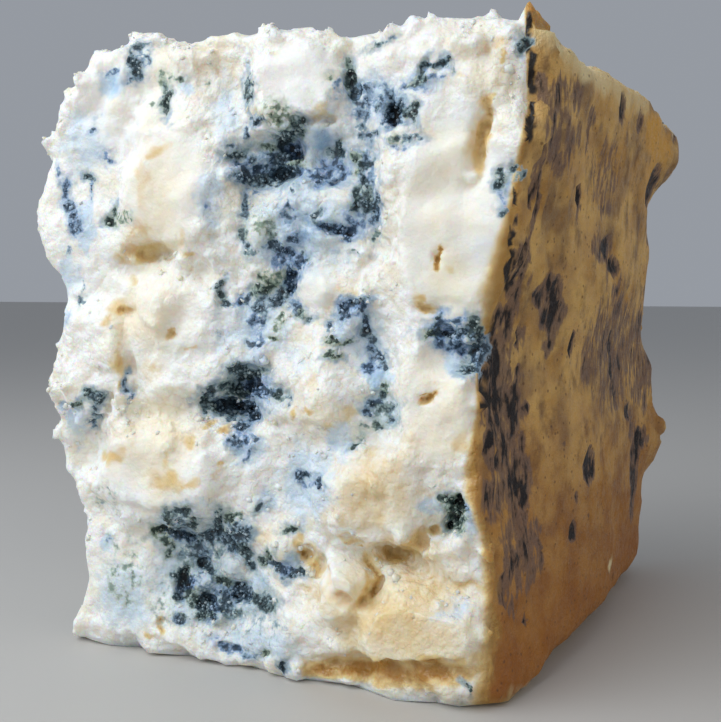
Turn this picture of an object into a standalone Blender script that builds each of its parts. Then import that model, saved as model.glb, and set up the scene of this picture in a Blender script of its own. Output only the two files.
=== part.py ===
"""A wedge of blue cheese broken from the rim of a wheel, as one solid.

Metres, +Z up. The broken face looks along -Y, the wheel's rind is the +X side and the wedge narrows to a
broken nose at -X. The flat base rests on z = 0, under the middle of the wedge's own box.
"""

import math

import bmesh
import bpy
from mathutils import Vector, noise

MM = 0.001
NAME = "cheese_wedge"

# Driving dimensions of the block, before its surfaces are roughened.
FACE_WIDTH = 45 * MM  # the broken face, from the nose to the rind
RIND_DEPTH = 58 * MM  # the rind side, from the broken face to the cut face behind
NOSE_DEPTH = 25 * MM  # the short broken end opposite the rind
HEIGHT = 62 * MM
RIND_BULGE = 3.0 * MM  # how far the round of the wheel stands out past its chord
RIND_LEAN = 4.4 * MM  # how much further out the rind's far corner lies than its near one
TOP_DROP = 2.0 * MM  # how far the top falls towards the rind's far corner
BACK_NORMAL = Vector((NOSE_DEPTH - RIND_DEPTH, FACE_WIDTH, 0)).normalized()

# Radii of the edges: a broken edge, and the rim where the rind turns under to the base.
EDGE_RADIUS = 1.1 * MM
RIM_RADIUS = 4.0 * MM

# Grid of the block along its width, depth and height, and the facets kept once flat areas are thinned.
CELLS = (56, 34, 72)
FACETS = 8800

# Side profiles, from the base up: (height, distance outward), both in mm. The rind's two edges are uneven
# where the paste behind them broke, and away from them it keeps the wheel's own profile.
RIND_PROFILE = ((0, -0.4), (26, -0.5), (46, 0.8), (62, 2.9))
RIND_NEAR_EDGE = ((0, 1.2), (12, 0.3), (22, -0.8), (35, -1.6), (42, 0.2), (51, 2.4), (62, 1.0))
RIND_FAR_EDGE = ((0, 0.4), (12, 1.5), (18, 3.5), (27, 2.4), (33, 0.3), (47, -0.4), (56, 2.4), (62, 1.1))
RIND_NEAR_REACH = 0.3  # the share of the rind's depth that each uneven edge takes
RIND_FAR_REACH = 0.25
NOSE_PROFILE = ((0, 3.4), (8, 2.4), (15, 2.2), (21, 4.4), (30, 6.2), (36, 4.2), (46, 6.6), (53, 4.4), (62, 1.4))
# Top profile, from the nose to the rind: (distance across, height above HEIGHT), both in mm.
TOP_PROFILE = ((0, 0.6), (9, 1.9), (14, 1.2), (24, 1.0), (31, 0.2), (37, 1.4), (42, -0.2), (46, -0.8))

# Masses of curd that stand out of the broken face, in mm: centre across from the nose and up from the base,
# half-width, half-height, rise.
CURD_MASSES = (
    (12.5, 49.0, 6.5, 8.5, 1.6),  # upper block beside the nose
    (25.0, 57.0, 5.0, 4.6, 1.6),  # block under the top edge
    (41.0, 46.0, 8.0, 16.0, 1.3),  # plateau beside the rind, upper part
    (39.5, 27.5, 5.0, 9.0, 1.2),  # the same plateau, lower part
    (0.5, 31.0, 5.0, 6.5, 1.8),  # overhang at the nose
    (12.0, 33.0, 7.0, 6.6, 1.4),  # crumbled block in the middle left
    (8.5, 19.0, 8.8, 5.4, 1.8),  # smooth swelling in the lower left
    (28.5, 27.5, 4.8, 4.2, 1.2),  # lump in the middle
    (34.5, 18.0, 6.4, 5.6, 1.7),  # shelf over the lower hollow
    (40.5, 18.5, 4.8, 4.0, 1.4),
    (30.3, 9.5, 2.7, 2.6, 2.4),  # ball of curd in the hollow
    (38.5, 3.5, 7.0, 7.0, 2.6),  # foot under the hollow
    (27.5, 2.0, 5.0, 5.0, 1.3),
    (4.0, 5.0, 5.0, 6.5, 0.5),
    (18.5, 9.5, 2.4, 2.3, 0.6),
)
# Pockets that open into the broken face, where the mould grew, in mm: centre across and up, half-width,
# half-height, depth.
POCKETS = (
    (21.5, 50.5, 4.0, 3.6, 2.2),  # upper vein
    (28.5, 49.0, 3.2, 3.4, 1.7),
    (32.3, 47.0, 1.6, 7.0, 1.3),
    (24.5, 40.0, 3.4, 6.0, 1.2),
    (18.0, 27.0, 4.2, 2.4, 2.6),  # deep cave left of the middle lump
    (15.0, 9.5, 6.8, 5.2, 2.0),  # wide patch low on the left
    (0.0, 22.0, 3.2, 3.4, 2.4),  # notch in the nose
    (42.0, 33.0, 3.4, 2.4, 1.9),  # pocket that cuts the rind's edge
    (35.0, 12.7, 5.0, 1.6, 2.6),  # hollow under the shelf
    (32.0, 31.0, 2.6, 5.6, 1.1),
    (40.2, 16.6, 1.4, 1.6, 2.0),
    (8.5, 40.8, 6.6, 1.3, 1.6),  # ledge under the upper block
    (43.2, 49.5, 0.9, 3.2, 1.4),  # slit beside the rind
    (31.0, 2.2, 8.0, 1.6, 1.2),  # undercut along the base
)

# Outlines: how square a mass and a pocket are, and the share of their size that their sides slope over.
MASS_SQUARENESS = 2.5
POCKET_SQUARENESS = 2.0
MASS_SLOPE = 0.5
POCKET_SLOPE = 0.9

# Blocks and hollows of the other broken faces, which follow noise: how far they rise or sink, and their size.
BLOCK_RISE = 1.3 * MM
BLOCK_SIZE = 15 * MM
HOLLOW_DEPTH = 1.8 * MM
HOLLOW_SIZE = 8 * MM

# How rough each kind of surface is: height of its lumps and their size.
BROKEN_RELIEF = 0.9 * MM
BROKEN_SCALE = 6.5 * MM
CURD_RELIEF = 0.7 * MM
CURD_SIZE = 4.2 * MM
RIND_RELIEF = 0.45 * MM
RIND_SCALE = 13 * MM
OUTLINE_WANDER = 1.5 * MM  # how far a mass or pocket strays from its oval outline
WANDER_SCALE = 4.5 * MM

PASTE_COLOUR = (0.86, 0.80, 0.62, 1.0)
PASTE_ROUGHNESS = 0.5


def clamp(value, low=0.0, high=1.0):
    return max(low, min(high, value))


def smoothstep(value):
    t = clamp(value)
    return t * t * (3 - 2 * t)


def profile(points, at):
    """Height of a smooth profile at a distance, both in metres; its points are in mm and end on level ground."""
    at = clamp(at / MM, points[0][0], points[-1][0])
    for (start, low), (end, high) in zip(points, points[1:]):
        if at <= end:
            return (low + (high - low) * smoothstep((at - start) / (end - start))) * MM
    return points[-1][1] * MM


def fractal(point, scale, seed=0.0):
    """Even roughness from about -1 to 1."""
    shifted = point / scale + Vector((seed, -seed, seed))
    return noise.fractal(shifted, 0.9, 2.1, 4)


def curds(point, size, seed=0.0):
    """Round-topped lumps with creases between them, from 0 in a crease to 1 on a crown."""
    distances, _ = noise.voronoi(point / size + Vector((seed, seed, -seed)))
    return 1 - clamp(distances[0] * 1.15) ** 2


def wander(point, seed):
    return noise.noise(point / WANDER_SCALE + Vector((seed, 0, 0))) * OUTLINE_WANDER


def oval_distance(point, across, up, centre_x, centre_z, half_width, half_height, squareness):
    """0 at the middle of a ragged oval on the broken face, and 1 on its outline; squareness 2 is a true oval."""
    dx = abs(across + wander(point, 3.1) - centre_x * MM) / (half_width * MM)
    dz = abs(up + wander(point, 8.7) - centre_z * MM) / (half_height * MM)
    return (dx**squareness + dz**squareness) ** (1 / squareness)


def face_relief(point, across, up):
    """How far the broken face stands out at a point: the highest mass of curd there, less its pockets."""
    rise = 0.0
    for centre_x, centre_z, half_width, half_height, height in CURD_MASSES:
        reach = oval_distance(point, across, up, centre_x, centre_z, half_width, half_height, MASS_SQUARENESS)
        rise = max(rise, height * MM * smoothstep((1.15 - reach) / MASS_SLOPE))
    for centre_x, centre_z, half_width, half_height, depth in POCKETS:
        reach = oval_distance(point, across, up, centre_x, centre_z, half_width, half_height, POCKET_SQUARENESS)
        rise -= depth * MM * smoothstep((1.25 - reach) / POCKET_SLOPE)
    return rise


def crumbled_relief(point, seed):
    """Fine lumps of a face that was broken and not cut."""
    uneven = fractal(point, BROKEN_SCALE, seed) * BROKEN_RELIEF
    return uneven + (curds(point, CURD_SIZE, seed) - 0.6) * CURD_RELIEF


def blocky_relief(point, seed):
    """Blocks of curd with ledges between them and mouldy hollows in them, under the fine lumps."""
    swell = noise.noise(point / BLOCK_SIZE + Vector((seed, 0, 0)))
    hollow = noise.noise(point / HOLLOW_SIZE + Vector((0, seed, 0)))
    blocks = BLOCK_RISE * smoothstep((swell + 0.12) / 0.24)
    return blocks - HOLLOW_DEPTH * smoothstep((hollow - 0.25) / 0.3) + crumbled_relief(point, seed)


def rounded(a, b, c):
    """Moves a point of the block's shares onto edges rounded to their radius, where the rim's is the largest."""
    size = Vector((FACE_WIDTH, RIND_DEPTH, HEIGHT))
    place = Vector((a * size.x, b * size.y, c * size.z))
    at_rim = smoothstep((a - 0.7) / 0.3) * smoothstep((0.25 - c) / 0.25) * smoothstep(b / 0.3)
    radius = EDGE_RADIUS + (RIM_RADIUS - EDGE_RADIUS) * at_rim
    core = Vector([clamp(p, radius, s - radius) for p, s in zip(place, size)])
    out = place - core
    if out.length > 0:
        place = core + out.normalized() * min(radius, max(abs(v) for v in out))
    return place.x / size.x, place.y / size.y, place.z / size.z


def block_point(a, b, c):
    """The smooth block: a runs from nose to rind, b from the broken face to the back, c from base to top."""
    depth = NOSE_DEPTH + (RIND_DEPTH - NOSE_DEPTH) * a
    up = c * HEIGHT
    rind = profile(RIND_PROFILE, up) + 4 * b * (1 - b) * RIND_BULGE + b * RIND_LEAN
    rind += profile(RIND_NEAR_EDGE, up) * smoothstep((RIND_NEAR_REACH - b) / RIND_NEAR_REACH)
    rind += profile(RIND_FAR_EDGE, up) * smoothstep((b - 1 + RIND_FAR_REACH) / RIND_FAR_REACH)
    x = (a - 0.5) * FACE_WIDTH + rind * a**2 - profile(NOSE_PROFILE, up) * (1 - a) ** 2
    crest = profile(TOP_PROFILE, a * FACE_WIDTH) - TOP_DROP * a * b
    z = up + crest * smoothstep((c - 0.8) / 0.2)
    return Vector((x, b * depth - RIND_DEPTH / 2, z))


def surface_point(a, b, c):
    """A point of the finished wedge, for a point on the unit cube."""
    near_broken = smoothstep((0.16 - b) / 0.16)
    near_back = smoothstep((b - 0.88) / 0.12)
    near_nose = smoothstep((0.14 - a) / 0.14)
    near_rind = smoothstep((a - 0.9) / 0.1)
    near_top = smoothstep((c - 0.9) / 0.1)
    off_base = smoothstep(c / 0.05)
    point = block_point(*rounded(a, b, c))
    relief = face_relief(point, point.x + FACE_WIDTH / 2, point.z) + crumbled_relief(point, 0.0)
    out = Vector((0.0, -relief * near_broken, 0.0))
    out += BACK_NORMAL * blocky_relief(point, 5.0) * near_back
    out.x -= blocky_relief(point, 11.0) * near_nose * (1 - near_broken)
    out.x += fractal(point, RIND_SCALE, 7.0) * RIND_RELIEF * near_rind
    out.z += crumbled_relief(point, 17.0) * near_top
    out.z *= off_base
    return point + out


def cube_grid(cells):
    """A unit cube whose faces are grids, with its cells counted along X, Y and Z."""
    bm = bmesh.new()
    bmesh.ops.create_cube(bm, size=1.0)
    bmesh.ops.translate(bm, verts=bm.verts, vec=(0.5, 0.5, 0.5))
    for axis, count in enumerate(cells):
        along = [e for e in bm.edges if abs((e.verts[0].co - e.verts[1].co)[axis]) > 0.5]
        bmesh.ops.subdivide_edges(bm, edges=along, cuts=count - 1, use_grid_fill=True)
    return bm


def paste_material():
    material = bpy.data.materials.new("blue_cheese_paste")
    material.use_nodes = True
    shader = material.node_tree.nodes["Principled BSDF"]
    shader.inputs["Base Color"].default_value = PASTE_COLOUR
    shader.inputs["Roughness"].default_value = PASTE_ROUGHNESS
    shader.inputs["Metallic"].default_value = 0.0
    return material


def thin_flat_areas(wedge):
    """Keeps facets where the surface is rough and lets go of those on the flat base and the smooth rind."""
    triangles = sum(len(face.vertices) - 2 for face in wedge.data.polygons)
    thinner = wedge.modifiers.new("thin_flat_areas", "DECIMATE")
    thinner.ratio = FACETS / triangles
    bpy.context.view_layer.objects.active = wedge
    wedge.select_set(True)
    bpy.ops.object.modifier_apply(modifier=thinner.name)


def stand_on_origin(mesh):
    """Puts the middle of the wedge's box over the origin and its lowest point on z = 0."""
    low = Vector([min(v.co[i] for v in mesh.vertices) for i in range(3)])
    high = Vector([max(v.co[i] for v in mesh.vertices) for i in range(3)])
    middle = Vector(((low.x + high.x) / 2, (low.y + high.y) / 2, low.z))
    for vertex in mesh.vertices:
        vertex.co -= middle


def make_wedge():
    bm = cube_grid(CELLS)
    for vertex in bm.verts:
        vertex.co = surface_point(*vertex.co)
    bmesh.ops.recalc_face_normals(bm, faces=bm.faces)
    mesh = bpy.data.meshes.new(NAME)
    bm.to_mesh(mesh)
    bm.free()
    mesh.materials.append(paste_material())
    wedge = bpy.data.objects.new(NAME, mesh)
    bpy.context.scene.collection.objects.link(wedge)
    thin_flat_areas(wedge)
    stand_on_origin(mesh)
    mesh.shade_smooth()
    mesh.set_sharp_from_angle(angle=math.radians(40))
    return wedge


for leftover in list(bpy.data.objects):
    bpy.data.objects.remove(leftover, do_unlink=True)
make_wedge()
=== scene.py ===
"""Looks of a wedge of blue cheese: ivory paste broken by hand, damp blue mould in its veins, and a tan rind.

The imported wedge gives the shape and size. Its surface is replaced by a finer one that keeps to its box:
the paste with its rind, loose crumbs of curd on the broken faces, and grains of mould in the veins.
Places on the broken face are in mm across from the nose corner and up from the base, as they line up
for an eye at the camera's place. Places on the rind are in mm back from the broken face and up from
the base.
"""

import math
import random

import bpy
import numpy as np
from mathutils import Euler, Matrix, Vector, noise
from mathutils.bvhtree import BVHTree


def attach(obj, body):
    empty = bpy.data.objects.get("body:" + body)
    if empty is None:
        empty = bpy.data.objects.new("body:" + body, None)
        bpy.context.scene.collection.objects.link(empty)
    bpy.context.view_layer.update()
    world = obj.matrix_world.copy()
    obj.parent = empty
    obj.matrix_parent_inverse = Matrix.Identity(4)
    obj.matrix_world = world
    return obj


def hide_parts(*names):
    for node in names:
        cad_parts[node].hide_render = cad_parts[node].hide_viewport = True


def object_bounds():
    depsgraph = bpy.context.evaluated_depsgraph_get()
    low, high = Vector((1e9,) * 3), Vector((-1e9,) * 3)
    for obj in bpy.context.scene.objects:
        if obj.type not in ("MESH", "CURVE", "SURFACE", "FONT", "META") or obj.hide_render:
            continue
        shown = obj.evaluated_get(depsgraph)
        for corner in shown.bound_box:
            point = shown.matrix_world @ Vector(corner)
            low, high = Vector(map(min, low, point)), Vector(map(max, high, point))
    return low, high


MM = 0.001

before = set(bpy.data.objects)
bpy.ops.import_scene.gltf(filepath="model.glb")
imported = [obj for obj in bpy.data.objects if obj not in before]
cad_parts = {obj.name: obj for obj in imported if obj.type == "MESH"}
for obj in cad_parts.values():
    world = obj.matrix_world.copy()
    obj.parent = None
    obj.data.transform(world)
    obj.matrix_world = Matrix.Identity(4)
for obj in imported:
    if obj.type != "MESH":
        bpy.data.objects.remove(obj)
CAD_LOW, CAD_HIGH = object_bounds()
CAD_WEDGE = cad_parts["cheese_wedge"]

CAMERA_PLACE = Vector((46.64, -120.56, 38.6)) * MM
CAMERA_AZIMUTH = math.radians(22.5)
CAMERA_PITCH = math.radians(4.0)
CAMERA_LENS = 53.3  # mm, on a sensor 36 mm wide

NOSE_CORNER = CAD_LOW.x + 7.44 * MM  # where "across" starts
FACE_DEPTH = CAD_LOW.y + 3.0 * MM  # the broken face's middle depth
CORE_VOXEL = 2.4 * MM  # a smoothed core tells which side of the wedge a point is on
LUMP_VOXEL = 0.55 * MM  # the grid that deep hollows and blocks are pressed on
PASTE_VOXEL = 0.27 * MM  # the grid of the fine relief
PASTE_TRIANGLES = 198000

SEED = 11
CURD_COUNT = 900  # half-buried curds
GRAIN_COUNT = 5200  # wet grains of mould
CRUMB_COUNT = 1100  # loose crumbs
HAZE_REACH = 1.2  # mm from a patch of mould to where the grey haze round it ends

# The floor's length, then lights in metres and watts: name, place, size, power, tint and what it faces.
FLOOR_SIZE = 4.0
WINDOW = ("window", (-0.12, -0.20, 0.21), 0.28, 0.785, (0.94, 0.97, 1.0), (-0.015, -0.03, 0.055))
ROOM = ("room", (0.45, -0.06, 0.25), 0.40, 0.30, (1.0, 0.88, 0.70), (0.0, 0.0, 0.032))
SKY_COLOUR = (0.84, 0.90, 1.0, 1.0)
SKY_STRENGTH = 0.36

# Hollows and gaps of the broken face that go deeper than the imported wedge's relief: across, up,
# half-width, half-height, turn in degrees and depth in mm.
HOLES = (
    (24.3, 52.6, 1.3, 0.7, 20, 2.6),  # dark gap between the round lump and the blue recess
    (24.8, 51.3, 0.9, 0.9, 0, 1.8),
    (23.6, 49.3, 1.6, 0.7, 8, 1.8),
    (27.4, 51.6, 1.8, 2, 0, 0.5),  # pale blue recess
    (26.8, 54.1, 2.2, 0.45, 0, 1.6),  # overhang of the top block
    (30.8, 57.3, 0.5, 1.5, 0, 1),
    (35, 54.3, 0.8, 1.1, -10, 1.8),
    (37.8, 58.3, 0.4, 0.7, -25, 0.9),
    (39.5, 58.4, 0.4, 0.4, 0, 0.8),
    (28.8, 44.1, 1.9, 0.4, -14, 1.8),
    (24.2, 39.2, 0.6, 1.3, 0, 1.4),
    (30.2, 36.8, 1.3, 0.35, 25, 1.2),
    (40.2, 34.3, 1.9, 0.3, 0, 1.8),  # pocket that cuts the rind's edge
    (42.4, 32.4, 1, 1.6, 10, 0.9),
    (38.4, 36.5, 1.3, 0.5, -8, 0.9),
    (16.8, 37.6, 0.8, 0.8, 0, 0.8),
    (19.2, 30.1, 1.8, 0.5, 5, 1.6),
    (18.8, 28.8, 2.2, 0.9, 0, 2.6),  # cave left of the middle lump
    (17.6, 26.6, 2.8, 0.7, -4, 2.8),
    (15, 27.2, 0.6, 0.8, 0, 0.8),
    (1.4, 26.6, 1.1, 1.2, 0, 1.8),  # notch under the left overhang
    (5.4, 28.5, 0.5, 0.9, 0, 1.6),
    (4.7, 30.6, 1, 1, 0, 1),
    (4.8, 36, 1.1, 0.5, 20, 1),
    (10.9, 33.9, 0.9, 0.5, 45, 0.8),
    (8, 42.2, 3.4, 0.9, 0, 1.1),  # ledge shadow on the left
    (3.4, 45.4, 0.7, 0.4, 0, 0.8),
    (43.4, 52.2, 0.6, 2.8, -8, 1.2),  # slit beside the rind
    (41.2, 18.6, 0.8, 0.8, 0, 2.2),  # green hole
    (40.9, 17.1, 0.7, 0.8, 0, 1.4),
    (38.4, 28.6, 1, 0.35, 20, 1.2),
    (39.2, 41.1, 0.25, 1.1, -20, 1),
    (38.2, 16.1, 1.5, 0.5, 12, 1.1),  # hollow under the shelf
    (37.4, 14.7, 1, 1.3, 0, 1.6),
    (35, 13.4, 2, 0.8, -6, 1.7),
    (30.6, 14.4, 1.4, 0.4, 0, 1.2),
    (32.8, 11.5, 0.5, 1.4, 25, 2.4),  # gap beside the ball of curd
    (32.8, 9.6, 0.5, 1.2, -30, 2.4),
    (31.6, 8.4, 0.9, 0.45, 30, 1.8),
    (29.8, 8.6, 1.3, 0.4, -12, 1.1),
    (28, 10.6, 0.4, 1.2, 8, 0.8),
    (25.6, 12.4, 1.2, 0.7, 20, 1.6),  # hollow beside the lower patch
    (27, 11.4, 0.7, 1.3, -15, 1.6),
    (23, 11.2, 1.6, 0.35, -12, 1.2),
    (22, 11.9, 0.5, 0.5, 0, 1),
    (14.7, 10.3, 1, 0.5, 0, 0.9),
    (11.7, 8.2, 0.8, 1.4, 0, 1.6),
    (14.7, 6.3, 1, 1.1, 0, 1.6),
    (18.4, 8.5, 1.6, 0.5, 5, 1),
    (18.8, 7.4, 1.6, 0.7, 0, 1),
    (12.2, 13.3, 1.6, 0.4, 0, 0.8),
    (9.4, 13.6, 0.9, 0.4, 20, 0.8),
    (42.2, 11.3, 1.6, 0.3, 5, 0.8),
    (17.4, 2.1, 2.2, 0.5, -8, 0.9),
    (21.4, 2, 0.8, 0.35, 15, 0.8),
    (9.3, 3.6, 0.6, 0.6, 20, 0.8),
    (23.2, 0.9, 0.3, 0.6, 0, 1),
    (32.8, 2.2, 5.6, 1.2, 3, 0.8),
    (39.8, 3, 2.8, 1.1, 4, 0.7),
    (47.5, 59.6, 0.3, 1.5, 0, 1.2),  # crevice between the paste and the rind
    (47.6, 57, 0.3, 1.5, 0, 1.2),
    (47.7, 54.5, 0.3, 1.5, 0, 1.2),
    (47.5, 52, 0.3, 1.5, 8, 1),
    (46.2, 45.2, 0.25, 1.8, 8, 0.7),
    (45.8, 41.8, 0.25, 1.6, 4, 0.7),
    (43.4, 28.8, 0.25, 1.3, 0, 0.7),
)

# Flat-faced blocks of curd with a step round them: across, up, half-width, half-height and how far out.
SLABS = (
    (25.2, 58.7, 4.9, 4, 0.7),  # top block that overhangs the vein
    (36, 60.8, 2.2, 2, 0.4),
    (45.5, 56.2, 1.5, 6.6, 0.5),  # white slab beside the rind
    (41.6, 44.4, 6, 7.2, 0.45),  # large flat plateau
    (40, 28.4, 4.4, 6.4, 0.5),  # flat stretch below the pocket
    (10.2, 48.8, 5.2, 5.8, 0.4),
    (12.6, 36.6, 4, 4.6, 0.4),
    (8.6, 20.6, 7.2, 4.6, 0.8),  # bulge at the lower left
    (32, 19.6, 5.4, 3.8, 0.6),
    (38.2, 8.6, 4.6, 2.6, 0.3),
    (40.4, 13.6, 3.4, 2, 0.4),
    (34.4, 5.8, 8.6, 2.3, 0.8),
    (5.4, 58.6, 1.8, 2.6, 0.4),
)

# Rounded lumps of curd that stand out of the broken face: across, up, half-width, half-height and how
# far out.
LUMPS = (
    (24.5, 53.8, 1.2, 0.9, 1),
    (27, 52.5, 0.9, 0.8, 0.6),  # small lumps in the blue recess
    (28.3, 50.7, 0.9, 0.7, 0.5),
    (26.5, 50.9, 0.7, 0.6, 0.4),
    (28.6, 52.6, 0.6, 0.8, 0.4),
    (22.7, 55.2, 1.4, 1.4, 0.7),
    (20.7, 53, 1.7, 1, 0.7),
    (21.2, 50.9, 2.2, 0.9, 0.6),
    (28.4, 47.1, 2.8, 0.9, 0.7),
    (27.2, 43.1, 1.7, 1.1, 0.9),
    (26.8, 38.6, 2.1, 2.3, 1.1),
    (20.9, 44.3, 1.7, 2, 0.7),
    (22.3, 39.2, 1.4, 1, 0.6),
    (24.6, 43.9, 1, 0.7, 0.6),
    (31, 36, 1.1, 0.8, 0.6),
    (30.9, 34.7, 0.9, 0.8, 0.6),
    (20.7, 31.6, 1.3, 0.9, 0.8),
    (23.6, 30.1, 1.1, 1.1, 0.6),
    (22.4, 26.9, 1.8, 1.4, 1.2),
    (28.2, 27.4, 2.7, 2.4, 0.9),
    (33.2, 30, 1.5, 1.6, 0.5),
    (38.6, 57.5, 0.9, 0.6, 0.5),
    (40.4, 57.6, 0.6, 0.5, 0.5),
    (11, 14.8, 1.5, 1.1, 0.6),
    (18.3, 14, 1.5, 2, 0.8),
    (17.9, 10.7, 1.7, 1.4, 1.3),
    (23.3, 12.8, 1.6, 1.4, 1.1),
    (14.6, 8.7, 1.4, 1.2, 0.7),
    (12.9, 11.9, 1.4, 1, 0.5),
    (19.5, 6.5, 1.2, 0.6, 0.8),
    (20.8, 7.5, 1.2, 0.8, 0.5),
    (30.3, 11.2, 2.1, 2, 1.5),  # ball of curd with a gap round it
    (35.6, 15, 0.8, 0.9, 1),
    (40.4, 14.3, 2.3, 2.4, 0.8),
    (28.4, 15.6, 1.6, 1.3, 0.6),
    (36.8, 9.6, 2.8, 2.6, 0.7),
    (6.3, 41.2, 0.7, 0.7, 0.9),
    (12, 39.4, 3, 1.9, 0.8),
    (9, 36.6, 2.8, 2.2, 0.7),
    (2, 31.5, 2.4, 2, 0.7),
    (4, 25.4, 2.6, 2.2, 0.8),
    (10, 27.4, 2.4, 2.2, 0.7),
    (16.6, 28.2, 0.8, 0.35, 0.8),
    (5, 56.4, 2.4, 2.2, 0.6),
    (13.2, 61.4, 2, 1.8, 0.6),
    (3.9, 62.4, 1.8, 1.1, 0.6),
    (0.2, 58.6, 1.9, 2.2, 0.7),
)

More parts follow.
